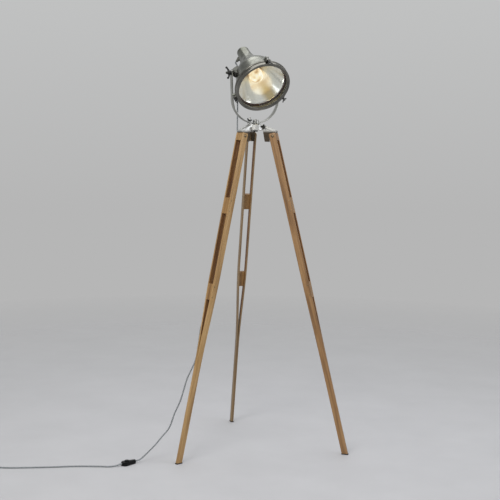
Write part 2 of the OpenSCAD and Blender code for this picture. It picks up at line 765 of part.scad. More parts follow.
module place_head() {
  place_bar()
    translate([0, 0, pivot_height])
      rotate([90 + tilt_angle, 0, 0])
        children();
}

// Places a latch's frame at its pin: X along the pin, Y outward, Z forward
module place_latch(angle) {
  place_head()
    rotate([0, 0, angle - 90])
      translate([0, latch_radius, latch_pin])
        children();
}

// The shell's outer form as a solid, and the same form less the wall
module shell_solid(inset) {
  first = shell_curve[0];
  last = shell_curve[len(shell_curve) - 1];
  rotate_extrude($fn = 96)
    polygon(concat([[0, first[1] - inset]], [[first[0] - inset, first[1] - inset]],
      [for (p = shell_curve) [p[0] - inset, p[1]]],
      [[last[0] - inset, last[1] + inset], [0, last[1] + inset]]));
}

module head_shell() {
  cheek = 3;
  gap = 2.9;
  color("#8A8A80")
    place_head()
      difference() {
        union() {
          shell_solid(0);
          translate([0, 0, mouth_reach - flange_thickness])
            cylinder(r = flange_radius, h = flange_thickness, $fn = 96);
          for (angle = latch_angles)
            rotate([0, 0, angle - 90])
              translate([0, latch_radius, latch_pin])
                for (side = [-1, 1])
                  translate([side * (gap + cheek / 2), 0, 0])
                    rotate([90, 0, 90])
                      linear_extrude(height = cheek, center = true) {
                        polygon([[-24, -13], [-18, -12], [-3, -4.5], [5, 0], [4, 4], [-8, 6.5],
                          [-24, 6.5]]);
                        circle(r = 5.5, $fn = 32);
                      }
          for (angle = latch_angles)
            rotate([0, 0, angle - 90])
              translate([0, latch_radius, latch_pin])
                rotate([0, 90, 0])
                  bore_solid(latch_bolt_radius, 2 * (gap + cheek + 1));
        }
        shell_solid(shell_wall);
      }
}

module neck_cap() {
  r = neck_radius;
  front = neck_end - face_gap;
  color("#5A5A55")
    place_head()
      rotate_extrude()
        polygon([[0, -neck_reach], [r * 0.55, -neck_reach + 1], [r * 0.86, -neck_reach + 3.2],
          [r + 0.8, -neck_reach + 6.5], [r + 0.8, front], [0, front]]);
}

// Bracket and stud that carry the head on one side of the yoke
module trunnion(side) {
  reach = yoke_inner - face_gap;
  color("#3A3A38")
    place_head() {
      difference() {
        union() {
          rotate([90, 0, 0])
            linear_extrude(height = 24, center = true)
              polygon([[side * 55, -30], [side * 72, -30], [side * (reach - 6), -12],
                [side * (reach - 6), 12], [side * 84, 24], [side * 55, 24]]);
          rotate([0, side * 90, 0])
            cylinder(r = 13, h = reach);
        }
        shell_solid(0);
      }
      rotate([0, side * 90, 0])
        translate([0, 0, reach - 1])
          cylinder(r = stud_radius, h = yoke_thickness + 22);
    }
}

module trunnion_left() { trunnion(-1); }
module trunnion_right() { trunnion(1); }

module reflector() {
  n = len(dish_curve);
  front = mouth_reach;
  color("#E8E4D8")
    place_head()
      rotate_extrude($fn = 96)
        polygon(concat([for (p = dish_curve) p],
          [[dish_mouth, front + reflector_wall], [flange_radius - 4, front + reflector_wall],
           [flange_radius - 4, front], [dish_mouth + reflector_wall + 1, front]],
          [for (i = [n - 2 : -1 : 0]) dish_curve[i] + [reflector_wall, -reflector_wall / 2]]));
}

module lamp_holder() {
  inner = neck_radius - shell_wall;
  back = neck_end + 26;
  color("#D8D4C8")
    place_head()
      rotate_extrude()
        polygon([[0, back], [inner + 0.1, back], [inner + 0.1, back + 4], [20.5, back + 8],
          [20.5, reflector_back + 3], [13.6, reflector_back + 3], [13.6, reflector_back - 16],
          [0, reflector_back - 16]]);
}

module bulb() {
  base = reflector_back - 16;
  color("#FFF6D0")
    place_head()
      rotate_extrude()
        polygon([[0, base], [11, base + 1], [13.5, base + 3], [13.5, base + 24], [15, base + 32],
          [20, base + 44], [26, base + 56], [29, base + 66], [30, base + 75], [29, base + 84],
          [25.5, base + 93], [19, base + 100], [10, base + 104], [0, base + 105]]);
}

module front_glass() {
  color("#DDE6E6")
    place_head()
      translate([0, 0, glass_back])
        cylinder(r = glass_radius, h = glass_thickness, $fn = 96);
}

module glass_gasket() {
  color("#1E1E1E")
    place_head()
      translate([0, 0, gasket_front - gasket_thickness])
        difference() {
          cylinder(r = flange_radius - 2, h = gasket_thickness, $fn = 96);
          cylinder(r = dish_mouth + 1, h = 3 * gasket_thickness, center = true, $fn = 96);
        }
}

module bezel_ring() {
  r = bezel_radius;
  back = gasket_front;
  rim = 4.5;
  groove = 2.6;
  mid = r - groove;
  color("#5A5652")
    place_head()
      difference() {
        union() {
          rotate_extrude($fn = 96)
            polygon([[glass_radius, back], [r - 1, back], [r, back + 1], [r, back + rim - 1],
              [r - 1, back + rim], [mid, back + rim + 0.8], [mid, bezel_front - rim - 2.4],
              [r - 1, bezel_front - rim - 1.4], [r, bezel_front - rim - 0.4], [r, bezel_front - 1.4],
              [r - 1.4, bezel_front], [r - 6, bezel_front], [window_radius + 3, bezel_front - 3],
              [window_radius, bezel_front - 4.5], [window_radius, glass_front],
              [glass_radius, glass_front]]);
          for (angle = latch_angles)
            rotate([0, 0, angle - 90])
              translate([0, 0, ear_back])
                linear_extrude(height = ear_front - ear_back)
                  polygon([[-11, r - 6], [11, r - 6], [9, latch_radius + 1],
                    [7, latch_radius + ear_reach], [-7, latch_radius + ear_reach], [-9, latch_radius + 1]]);
        }
        for (angle = latch_angles)
          rotate([0, 0, angle - 90])
            translate([-latch_bolt_radius - 0.4, latch_radius - latch_bolt_radius - 0.6, ear_back - 1])
              cube([2 * latch_bolt_radius + 0.8, 40, ear_front - ear_back + 2]);
      }
}

// Strain relief where the cord leaves the neck
module cord_gland() {
  inside = neck_radius - shell_wall;
  seat = neck_radius + 2;
  color("#1A1A1A")
    place_head()
      difference() {
        turn_to_gland()
          rotate_extrude()
            polygon([[0, inside - 4], [gland_core, inside - 4], [gland_core, neck_radius],
              [9, neck_radius], [9, seat + 6], [6.8, seat + 8], [5.6, gland_reach - 4],
              [4.6, gland_reach], [0, gland_reach]]);
        // The flange of the gland seats on the round neck
        difference() {
          translate([0, 0, gland_back - 20])
            cylinder(r = neck_radius + 0.9, h = 40);
          translate([0, 0, gland_back - 21])
            cylinder(r = inside - 0.5, h = 42);
          turn_to_gland()
            cylinder(r = gland_core, h = 2 * gland_reach);
        }
      }
}

// Puts Z on the gland's axis, outward from the neck's middle
module turn_to_gland() {
  translate([0, 0, gland_back])
    rotate([0, 0, -gland_angle])
      rotate([-90, 0, 0])
        children();
}

module latch_bolt(angle) {
  color("#6A6A66")
    place_latch(angle)
      difference() {
        union() {
          rotate([0, 90, 0])
            bore_solid(6, 5);
          cylinder(r = latch_bolt_radius, h = latch_nut_base + latch_wing_start + 6);
        }
        rotate([0, 90, 0])
          bore_solid(latch_bolt_radius + running_gap, 20);
      }
}

module latch_nut(angle) {
  color("#1A1A1A")
    place_latch(angle)
      translate([0, 0, latch_nut_base])
        wing_nut(latch_bolt_radius, latch_nut_hub, latch_wing_start, 9, latch_nut_span, 3);
}

module latch_bolt_top() { latch_bolt(latch_angles[0]); }
module latch_bolt_left() { latch_bolt(latch_angles[1]); }
module latch_bolt_right() { latch_bolt(latch_angles[2]); }
module latch_nut_top() { latch_nut(latch_angles[0]); }
module latch_nut_left() { latch_nut(latch_angles[1]); }
module latch_nut_right() { latch_nut(latch_angles[2]); }

// ---- Cord, switch and plug ----

module cord_head() {
  color("#4A4A48") tube(straight_ended(head_points, 2), cord_radius, cord_sides, [1, 0, 0]);
}

module cord_yoke() {
  color("#4A4A48") tube(yoke_points, cord_radius, cord_sides, [1, 0, 0]);
}

module cord_leg() {
  color("#4A4A48")
    tube(concat(straight_ended(leg_points, 2), [channel_points[1]], smooth_path(exit_points, 2)),
      cord_radius, cord_sides, [1, 0, 0]);
}

module cord_drop() {
  color("#4A4A48") tube(smooth_path(drop_points, 1), cord_radius, cord_sides, [0, 1, 0]);
}

module cord_floor() {
  color("#4A4A48") tube(smooth_path(floor_points, 1), cord_radius, cord_sides, [0, 0, 1]);
}

module cord_coil() {
  color("#4A4A48") tube(coil_points, cord_radius, 6, [0, 0, 1]);
}

// Band round all the turns of the coil
module cord_tie() {
  inner = coil_radius - coil_pitch * coil_loops / 2 - cord_radius;
  outer = coil_radius + cord_radius + 0.4;
  under = coil_lift - cord_radius - 0.4;
  over = coil_lift + coil_pitch + cord_radius + 0.4;
  color("#1A1A1A")
    translate([coil_centre[0], coil_centre[1], 0])
      difference() {
        translate([-5, -outer - 0.9, under - 0.9])
          cube([10, outer - inner + 1.8, over - under + 1.8]);
        translate([-6, -outer, under])
          cube([12, outer - inner, over - under]);
      }
}

module place_switch() {
  translate([switch_middle[0], switch_middle[1], 0])
    rotate([0, 0, switch_turn])
      children();
}

// The housing's plan, broad toward the wall plug and narrow toward the lamp
module switch_plan(inset) {
  half = switch_length / 2;
  circle_x = half - switch_radius;
  side = switch_radius - 0.2 - inset;
  translate([circle_x, 0])
    circle(r = switch_radius - inset);
  polygon([[-half + 14, -9 + inset], [circle_x - 2, -side], [circle_x - 2, side],
    [-half + 14, 9 - inset]]);
  polygon([[-half + 1, -6 + inset], [-half + 15, -9 + inset], [-half + 15, 9 - inset],
    [-half + 1, 6 - inset]]);
}

module switch_housing() {
  rim = switch_height - 3;
  collar = 8;
  half = switch_length / 2;
  color("#141414")
    place_switch()
      difference() {
        union() {
          translate([0, 0, 0.5])
            linear_extrude(height = rim)
              switch_plan(0);
          translate([0, 0, 0.5])
            linear_extrude(height = switch_height - 0.5)
              switch_plan(2);
          for (side = [-1, 1])
            translate([side > 0 ? half - collar : -half, 0, switch_right[2]])
              rotate([0, 90, 0])
                cylinder(r = cord_radius + 1.6, h = collar);
        }
        translate([button_x, 0, button_floor])
          cylinder(r = button_radius + turn_gap, h = switch_height);
      }
}

module switch_button() {
  base = button_floor + 3.5;
  r = button_radius;
  color("#0E0E0E")
    place_switch()
      translate([button_x, 0, base])
        rotate_extrude()
          polygon([[0, 0], [r, 0], [r, 9], [r - 1.4, 10.8], [r - 6, 11.8], [0, 12]]);
}

module plug_body() {
  r = coil_end[2] - 0.4;
  color("#1A1A1A")
    translate(coil_end)
      rotate([0, -90, 0])
        rotate_extrude()
          polygon([[0, 0], [cord_radius + 1.4, 0], [cord_radius + 2.2, 16], [r * 0.8, 20],
            [r, 26], [r, plug_length - 3], [r - 1.6, plug_length], [0, plug_length]]);
}

module plug_pins() {
  pin = [18, 1.5, 6.4];
  color("#C0B060")
    translate(coil_end)
      for (side = [-1, 1])
        translate([-plug_length - pin[0], side * 6.35 - pin[1] / 2, -pin[2] / 2])
          cube(pin);
}

crown_casting();
centre_bolt();
swivel_washer();
centre_nut();
hub_screw();
left_lath_a();
left_lath_b();
left_hinge_block();
left_spacer_upper();
left_spacer_lower();
left_foot_pad();
left_hinge_bolt();
right_lath_a();
right_lath_b();
right_hinge_block();
right_spacer_upper();
right_spacer_lower();
right_foot_pad();
right_hinge_bolt();
back_lath_a();
back_lath_b();
back_hinge_block();
back_spacer_upper();
back_spacer_lower();
back_foot_pad();
back_hinge_bolt();
yoke_bar();
lock_bolt();
lock_nut();
tilt_nut_left();
tilt_nut_right();
head_shell();
neck_cap();
trunnion_left();
trunnion_right();
reflector();
lamp_holder();
bulb();
front_glass();
glass_gasket();
bezel_ring();
cord_gland();
latch_bolt_top();
latch_nut_top();
latch_bolt_left();
latch_nut_left();
latch_bolt_right();
latch_nut_right();
cord_head();
cord_yoke();
cord_leg();
cord_drop();
switch_housing();
switch_button();
cord_floor();
cord_coil();
cord_tie();
plug_body();
plug_pins();
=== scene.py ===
"""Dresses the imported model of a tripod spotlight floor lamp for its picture.

Everything is in metres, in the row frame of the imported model: Z is up, the floor is Z = 0 and the
lamp faces -Y. Each piece stays at the origin with its place in its mesh, and rides on a body.
"""

from __future__ import annotations

import json
import logging
import math
from dataclasses import dataclass, replace
from enum import Enum
from typing import Sequence

import bmesh
import bpy
from mathutils import Matrix, Vector

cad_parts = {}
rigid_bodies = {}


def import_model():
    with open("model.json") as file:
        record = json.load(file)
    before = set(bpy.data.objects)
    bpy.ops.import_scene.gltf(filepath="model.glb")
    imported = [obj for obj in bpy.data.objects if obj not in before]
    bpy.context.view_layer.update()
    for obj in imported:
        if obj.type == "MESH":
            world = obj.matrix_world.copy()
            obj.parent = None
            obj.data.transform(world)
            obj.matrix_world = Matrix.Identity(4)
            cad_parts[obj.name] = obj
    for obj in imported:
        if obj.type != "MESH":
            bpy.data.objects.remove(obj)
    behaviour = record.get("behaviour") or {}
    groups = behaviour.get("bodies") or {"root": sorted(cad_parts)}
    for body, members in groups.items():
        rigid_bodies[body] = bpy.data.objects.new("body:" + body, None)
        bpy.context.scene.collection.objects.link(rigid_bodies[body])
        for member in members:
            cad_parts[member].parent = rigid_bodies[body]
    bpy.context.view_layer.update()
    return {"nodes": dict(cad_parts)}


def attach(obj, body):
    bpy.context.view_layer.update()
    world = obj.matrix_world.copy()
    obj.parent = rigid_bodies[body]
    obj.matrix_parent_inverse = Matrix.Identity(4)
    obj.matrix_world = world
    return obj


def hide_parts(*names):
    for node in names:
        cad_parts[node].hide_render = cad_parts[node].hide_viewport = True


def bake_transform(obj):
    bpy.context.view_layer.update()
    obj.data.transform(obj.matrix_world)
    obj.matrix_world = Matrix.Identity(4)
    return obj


LOG = logging.getLogger("lamp")
Point = tuple[float, float, float]
Flat = tuple[float, float]
Inputs = Sequence[object] | dict[str | int, object]
Stops = Sequence[tuple[float, str]]


@dataclass(frozen=True)
class Sizes:
    """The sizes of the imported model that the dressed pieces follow, in metres and degrees."""

    axis_y: float = -0.102947
    foot_radius: float = 0.410
    hinge_height: float = 1.330
    hinge_radius: float = 0.0785
    lath_thickness: float = 0.006
    lath_depth: float = 0.030
    lath_depth_foot: float = 0.025
    lath_top: float = 0.0125
    half_gap: float = 0.014
    half_gap_bow: float = 0.013
    bow_start: float = 0.42
    bow_end: float = 0.72
    spacer_length: float = 0.067
    spacer_shares: tuple[float, float] = (0.217, 0.48)
    pivot_rise: float = 0.108
    pan: float = 9.0
    yoke_lean: float = 2.5
    tilt: float = 36.0
    yoke_inner: float = 0.101
    yoke_thickness: float = 0.004
    yoke_width: float = 0.023
    hub_top: float = 1.378
    neck_radius: float = 0.0255
    neck_reach: float = 0.160
    bezel_radius: float = 0.1165
    bezel_back: float = 0.088
    bezel_front: float = 0.112
    latch_radius: float = 0.123
    latch_pin: float = 0.077

    @property
    def lean(self) -> float:
        """Lean of a leg from the vertical, in radians."""
        return math.atan2(self.foot_radius - self.hinge_radius, self.hinge_height)

    @property
    def leg_length(self) -> float:
        """Length of a leg from its hinge to the floor."""
        return math.hypot(self.foot_radius - self.hinge_radius, self.hinge_height)

    @property
    def yoke_outer(self) -> float:
        """Half of the yoke's width outside."""
        return self.yoke_inner + self.yoke_thickness

    @property
    def yoke_base(self) -> float:
        """Height of the yoke's lowest face."""
        return self.hub_top + 0.0021

    @property
    def arc_height(self) -> float:
        """Height of the middle of the yoke's arc."""
        return self.yoke_base + self.yoke_outer

    @property
    def pivot_height(self) -> float:
        """Height of the tilt axis along the bar."""
        return self.arc_height + self.pivot_rise

    @property
    def lean_lift(self) -> float:
        """Rise of the leaning bar on its seat."""
        return self.yoke_outer * (1 - math.cos(math.radians(self.yoke_lean)))


SIZES = Sizes()


class Leg(Enum):
    """The three legs, each with its azimuth in degrees."""

    LEFT = 210.0
    RIGHT = 330.0
    BACK = 90.0

    @property
    def body(self) -> str:
        """Name of the leg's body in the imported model."""
        return f"{self.name.lower()}_leg"

    def node(self, part: str) -> str:
        """Name of one of the leg's nodes.

        Args:
            part: the node's name without the leg's.

        Returns:
            The node's full name.
        """
        return f"{self.name.lower()}_{part}"


class Latch(Enum):
    """The three swing-bolt latches, each with its angle round the head in degrees."""

    TOP = 90.0
    LEFT = 210.0
    RIGHT = 330.0


def spin(axis: str, degrees: float) -> Matrix:
    """A rotation about one of the main axes."""
    return Matrix.Rotation(math.radians(degrees), 4, axis)


def shift(x: float = 0.0, y: float = 0.0, z: float = 0.0) -> Matrix:
    """A move along the main axes."""
    return Matrix.Translation((x, y, z))


LAMP_PLACE = shift(y=SIZES.axis_y)
YOKE_PLACE = LAMP_PLACE @ spin("Z", SIZES.pan)
BAR_PLACE = (
    YOKE_PLACE
    @ shift(z=SIZES.yoke_base + SIZES.lean_lift)
    @ spin("Y", -SIZES.yoke_lean)
    @ shift(z=-SIZES.yoke_base)
)
HEAD_PLACE = BAR_PLACE @ shift(z=SIZES.pivot_height) @ spin("X", 90.0 + SIZES.tilt)


def leg_place(leg: Leg) -> Matrix:
    """The leg's frame: origin at its hinge, X outward and Z up along the leg.

    Args:
        leg: which leg it is.

    Returns:
        The frame as a matrix.
    """
    return (
        LAMP_PLACE
        @ spin("Z", leg.value)
        @ shift(x=SIZES.hinge_radius, z=SIZES.hinge_height)
        @ Matrix.Rotation(-SIZES.lean, 4, "Y")
    )


def latch_place(latch: Latch) -> Matrix:
    """The latch's place on the head: origin at its pin, X along the pin, Y outward, Z forward."""
    return spin("Z", latch.value - 90.0) @ shift(y=SIZES.latch_radius, z=SIZES.latch_pin)


# ---- Colour and materials ----


def linear(colour: str) -> tuple[float, float, float, float]:
    """Turns an sRGB colour written as hex into linear values.

    Args:
        colour: six hex digits, with or without a leading #.

    Returns:
        Red, green, blue and alpha.
    """
    digits = colour.lstrip("#")
    values = []
    for start in (0, 2, 4):
        part = int(digits[start : start + 2], 16) / 255.0
        values.append(part / 12.92 if part <= 0.04045 else ((part + 0.055) / 1.055) ** 2.4)
    return values[0], values[1], values[2], 1.0


def width(millimetres: float) -> float:
    """Scale of a pattern whose marks are so many millimetres wide."""
    return 1000.0 / millimetres


class Graph:
    """The nodes of one material, or of the world."""

    def __init__(self, owner: bpy.types.Material | bpy.types.World) -> None:
        """Takes over the nodes of a new material or world.

        Args:
            owner: the material or the world.
        """
        owner.use_nodes = True
        self.owner = owner
        self.nodes = owner.node_tree.nodes
        self.links = owner.node_tree.links

    def feed(self, node: bpy.types.Node, inputs: Inputs) -> None:
        """Links or sets a node's inputs.

        Args:
            node: the node.
            inputs: what each input gets, in order or by name or number: a socket, a value, or a
                colour as sRGB hex.
        """
        pairs = inputs.items() if isinstance(inputs, dict) else enumerate(inputs)
        for key, value in pairs:
            socket = node.inputs[key]
            if isinstance(value, bpy.types.NodeSocket):
                self.links.new(value, socket)
            else:
                socket.default_value = linear(value) if isinstance(value, str) else value

    def add(
        self,
        kind: str,
        inputs: Inputs = (),
        out: str | int = 0,
        stops: Stops = (),
        **settings: object,
    ) -> bpy.types.NodeSocket:
        """Adds a node with its settings and links.

        Args:
            kind: the node's kind, as its type says after ShaderNode.
            inputs: what each input gets.
            out: name or number of the output that is wanted.
            stops: positions and sRGB colours, for a colour ramp.
            settings: the node's plain properties.

        Returns:
            The output's socket.
        """
        made = self.nodes.new(f"ShaderNode{kind}")
        for key, value in settings.items():
            setattr(made, key, value)
        for i, (position, colour) in enumerate(stops):
            band = made.color_ramp.elements
            if i == len(band):
                band.new(position)
            band[i].position = position
            band[i].color = linear(colour)
        self.feed(made, inputs)
        return made.outputs[out]

    def shade(self, inputs: Inputs) -> bpy.types.Material:
        """Feeds the material's own shader and hands the material back."""
        self.feed(self.nodes["Principled BSDF"], inputs)
        return self.owner


@dataclass(frozen=True)
class WoodFinish:
    """A planed ash board in three tones, with its grain and open pores along its length."""

    name: str
    dark: str
    middle: str
    light: str
    roughness: float = 0.46

    def build(self, turn: Point) -> bpy.types.Material:
        """Makes the wood with its grain along the turned Z axis.

        Args:
            turn: Euler angles that bring the board upright.

        Returns:
            The material.
        """
        graph = Graph(bpy.data.materials.new(self.name))
        upright = graph.add("Mapping", {"Vector": graph.add("TexCoord", out="Object"), "Rotation": turn})
        # Growth rings, pores (drawn coarse, or they would not show) and the board's broad shades
        marks = []
        for across, along, detail, rough, bend in (
            (10.526, 200.0, 4.0, 0.55, 0.35),
            (1.1111, 45.4545, 2.0, 0.6, 0.0),
            (111.11, 625.0, 2.0, 0.5, 0.0),
        ):
            size = (width(across), width(across), width(along))
            where = graph.add("Mapping", {"Vector": upright, "Scale": size})
            look = {"Vector": where, "Scale": 1.0, "Detail": detail, "Roughness": rough, "Distortion": bend}
            marks.append(graph.add("TexNoise", look))
        grain, pores, broad = marks
        tone = graph.add("ValToRGB", (grain,), stops=((0.3, self.dark), (0.5, self.middle), (0.7, self.light)))
        share = graph.add("MapRange", (broad, 0.3, 0.7, 0.0, 0.34))
        shade = graph.add(
            "Mix", {0: share, 6: tone, 7: self.dark}, 2, data_type="RGBA", blend_type="MULTIPLY"
        )
        share = graph.add("MapRange", (pores, 0.34, 0.46, 0.42, 0.0))
        colour = graph.add("Mix", {0: share, 6: shade, 7: self.dark}, 2, data_type="RGBA")
        rough = graph.add("MapRange", (grain, 0.3, 0.7, self.roughness - 0.06, self.roughness + 0.12))
        height = graph.add("Math", (grain, 0.6), operation="MULTIPLY")
        height = graph.add("Math", (pores, height), operation="ADD")
        relief = graph.add("Bump", {"Strength": 0.35, "Distance": 0.0002, "Height": height})
        # Oil leaves a thin sheen over the pores and no film
        return graph.shade(
            {
                "Base Color": colour,
                "Roughness": rough,
                "Normal": relief,
                "Coat Weight": 0.12,
                "Coat Roughness": 0.3,
            }
        )


@dataclass(frozen=True)
class MetalFinish:
    """A bare metal with brushing, stains and small dents."""

    name: str
    dark: str
    light: str
    low: float = 0.22
    high: float = 0.42
    brush: Point = (1.1905, 1.1905, 1.1905)
    relief: float = 0.15
    stains: float = 111.11

    def build(self, turn: Point = (0, 0, 0)) -> bpy.types.Material:
        """Makes the metal, with its brushing and stains sized in millimetres.

        Args:
            turn: Euler angles that line up its brushing.

        Returns:
            The material.
        """
        graph = Graph(bpy.data.materials.new(self.name))
        where = graph.add("TexCoord", out="Object")
        turned = graph.add("Mapping", {"Vector": where, "Rotation": turn})
        brushed = graph.add("Mapping", {"Vector": turned, "Scale": tuple(width(mark) for mark in self.brush)})
        stain = graph.add(
            "TexNoise",
            {"Vector": where, "Scale": width(self.stains), "Detail": 5.0, "Roughness": 0.62, "Distortion": 0.4},
        )
        lines = graph.add("TexNoise", {"Vector": brushed, "Scale": 1.0, "Detail": 3.0, "Roughness": 0.6})
        colour = graph.add("ValToRGB", (stain,), stops=((0.32, self.dark), (0.68, self.light)))
        wear = graph.add("Math", (stain, 0.65), operation="MULTIPLY")
        rubbed = graph.add("Math", (lines, 0.35), operation="MULTIPLY")
        wear = graph.add("Math", (wear, rubbed), operation="ADD")
        rough = graph.add("MapRange", (wear, 0.35, 0.65, self.high, self.low))
        height = graph.add("Math", (lines, stain), operation="ADD")
        relief = graph.add("Bump", {"Strength": self.relief, "Distance": 0.0002, "Height": height})
        return graph.shade({"Base Color": colour, "Roughness": rough, "Normal": relief, "Metallic": 1.0})


@dataclass(frozen=True)
class CastFinish:
    """Sand-cast metal, pale on the hub, with painted shade on the lugs between the boards."""

    name: str = "cast_metal"
    pale: tuple[str, str] = ("#B8B8B4", "#ECECE8")
    # The dark tones are painted shade on the lugs under the hub
    dark: tuple[str, str] = ("#3A332A", "#5A5044")
    level: Flat = (1.344, 1.354)
    stains: float = 38.4615
    sand: float = 2.38095

    def build(self) -> bpy.types.Material:
        """Makes the metal, which turns dark as painted shade below the level where the lugs begin.

        Returns:
            The material.
        """
        graph = Graph(bpy.data.materials.new(self.name))
        where = graph.add("TexCoord", out="Object")
        stain = graph.add(
            "TexNoise",
            {"Vector": where, "Scale": width(self.stains), "Detail": 5.0, "Roughness": 0.62, "Distortion": 0.4},
        )
        sand = graph.add(
            "TexNoise", {"Vector": where, "Scale": width(self.sand), "Detail": 2.0, "Roughness": 0.6}
        )
        # Below this level the casting takes the dark tones of painted shade
        above = graph.add("MapRange", (graph.add("SeparateXYZ", (where,), "Z"), *self.level, 0.0, 1.0))
        tones = [
            graph.add("ValToRGB", (stain,), stops=((0.32, low), (0.68, high)))
            for low, high in (self.dark, self.pale)
        ]
        colour = graph.add("Mix", {0: above, 6: tones[0], 7: tones[1]}, 2, data_type="RGBA")
        rough = graph.add("MapRange", (stain, 0.35, 0.65, 0.42, 0.26))
        height = graph.add("Math", (sand, stain), operation="ADD")
        relief = graph.add("Bump", {"Strength": 0.25, "Distance": 0.0002, "Height": height})
        return graph.shade({"Base Color": colour, "Roughness": rough, "Normal": relief, "Metallic": 1.0})


@dataclass(frozen=True)
class PlainFinish:
    """A moulded, painted or rubber surface with a fine grain."""

    name: str
    dark: str
    light: str
    roughness: float = 0.45
    grain: float = 1.1111
    relief: float = 0.2
    metallic: float = 0.0
    specular: float = 0.5
    clouds: float = 18.1818

    def build(self) -> bpy.types.Material:
        """Makes the surface, with its clouds and its grain sized in millimetres.

        Returns:
            The material.
        """
        graph = Graph(bpy.data.materials.new(self.name))
        where = graph.add("TexCoord", out="Object")
        cloud = graph.add(
            "TexNoise", {"Vector": where, "Scale": width(self.clouds), "Detail": 3.0, "Roughness": 0.5}
        )
        speck = graph.add(
            "TexNoise", {"Vector": where, "Scale": width(self.grain), "Detail": 2.0, "Roughness": 0.6}
        )
        colour = graph.add("ValToRGB", (cloud,), stops=((0.35, self.dark), (0.65, self.light)))
        rough = graph.add("MapRange", (cloud, 0.3, 0.7, self.roughness - 0.06, self.roughness + 0.08))
        relief = graph.add("Bump", {"Strength": self.relief, "Distance": 0.0002, "Height": speck})
        return graph.shade(
            {
                "Base Color": colour,
                "Roughness": rough,
                "Normal": relief,
                "Metallic": self.metallic,
                "Specular IOR Level": self.specular,
            }
        )


@dataclass(frozen=True)
class BraidFinish:
    """A round textile braid of dark and pale strands, from the tube's own length and turn."""

    name: str
    dark: str
    pale: str
    pitch: float = 0.011
    strands: int = 4
    fuzz: float = 0.384615

    def build(self) -> bpy.types.Material:
        """Makes the braid. U of the piece's map is its length in metres and V its turn.

        Returns:
            The material.
        """
        graph = Graph(bpy.data.materials.new(self.name))
        chart = graph.add("UVMap", out="UV", uv_map="along")
        along = graph.add("SeparateXYZ", (chart,), "X")
        round_it = graph.add("SeparateXYZ", (chart,), "Y")
        length = graph.add("Math", (along, 1.0 / self.pitch), operation="MULTIPLY")
        turn = graph.add("Math", (round_it, float(self.strands)), operation="MULTIPLY")
        strands, crowns = [], []
        for way in ("ADD", "SUBTRACT"):
            place = graph.add("Math", (graph.add("Math", (length, turn), operation=way),), operation="FRACT")
            strands.append(graph.add("Math", (place, 0.5), operation="GREATER_THAN"))
            swing = graph.add("Math", (place, math.pi), operation="MULTIPLY")
            crowns.append(graph.add("Math", (swing,), operation="SINE"))
        check = graph.add("Math", strands, operation="SUBTRACT")
        check = graph.add("Math", (check,), operation="ABSOLUTE")
        where = graph.add("TexCoord", out="Object")
        fuzz = graph.add(
            "TexNoise", {"Vector": where, "Scale": width(self.fuzz), "Detail": 2.0, "Roughness": 0.7}
        )
        # Stray fibres of the other colour dull each strand
        tones = []
        for own, other, stray in ((self.dark, self.pale, 0.15), (self.pale, self.dark, 0.35)):
            share = graph.add("MapRange", (fuzz, 0.3, 0.7, 0.0, stray))
            tones.append(graph.add("Mix", {0: share, 6: own, 7: other}, 2, data_type="RGBA"))
        colour = graph.add("Mix", {0: check, 6: tones[0], 7: tones[1]}, 2, data_type="RGBA")
        height = graph.add("Math", crowns, operation="MULTIPLY")
        height = graph.add("Math", (height, fuzz), operation="ADD")
        relief = graph.add("Bump", {"Strength": 0.5, "Distance": 0.0004, "Height": height})
        return graph.shade(
            {
                "Base Color": colour,
                "Normal": relief,
                "Roughness": 0.85,
                "Sheen Weight": 0.3,
                "Sheen Roughness": 0.5,
            }
        )


@dataclass(frozen=True)
class ReflectorFinish:
    """A spun, silvered dish with a painted reflection round the bulb, brown near it and cream beyond, and stained
    near its rim.
    """

    name: str = "reflector"
    inner: float = 0.022
    outer: float = 0.098
    stain_spot: Point = (0.058, -0.066, 0.0)
    stain_size: Flat = (0.012, 0.036)
    stain_colour: str = "#C2A96C"
    clouds: float = 90.9091

    def build(self) -> bpy.types.Material:
        """Makes the dish's metal, with a faint painted glow for the bulb's light on it.

        Returns:
            The material.
        """
        graph = Graph(bpy.data.materials.new(self.name))
        where = graph.add("TexCoord", out="Object")
        inverse = HEAD_PLACE.inverted()
        local = graph.add(
            "Mapping", {"Vector": where, "Location": inverse.to_translation(), "Rotation": inverse.to_euler()}
        )
        flat = graph.add("VectorMath", (local, (1.0, 1.0, 0.0)), operation="MULTIPLY")
        away = graph.add("VectorMath", (flat,), "Value", operation="LENGTH")
        out = graph.add("MapRange", (away, self.inner, self.outer, 0.0, 1.0))
        # Painted reflection: the brown zone round the bulb and the cream band beyond it stand in for the lamp
        # holder and bulb mirrored in the dish
        tone = graph.add(
            "ValToRGB",
            (out,),
            stops=((0.0, "#6E5436"), (0.2, "#B49468"), (0.36, "#F8EFD8"), (0.5, "#F0EEEA"), (1.0, "#F8F6F5")),
        )
        stain = graph.add("VectorMath", (flat, self.stain_spot), "Value", operation="DISTANCE")
        share = graph.add("MapRange", (stain, *self.stain_size, 0.85, 0.0))
        colour = graph.add("Mix", {0: share, 6: tone, 7: self.stain_colour}, 2, data_type="RGBA")
        cloud = graph.add(
            "TexNoise", {"Vector": where, "Scale": width(self.clouds), "Detail": 1.0, "Roughness": 0.5}
        )
        rough = graph.add("MapRange", (cloud, 0.3, 0.7, 0.1, 0.2))
        return graph.shade(
            {
                "Base Color": colour,
                # Painted glow: the dish's faint emission stands in for the bulb's light on it
                "Emission Color": colour,
                "Emission Strength": 0.1,
                "Roughness": rough,
                "Metallic": 0.8,
            }
        )


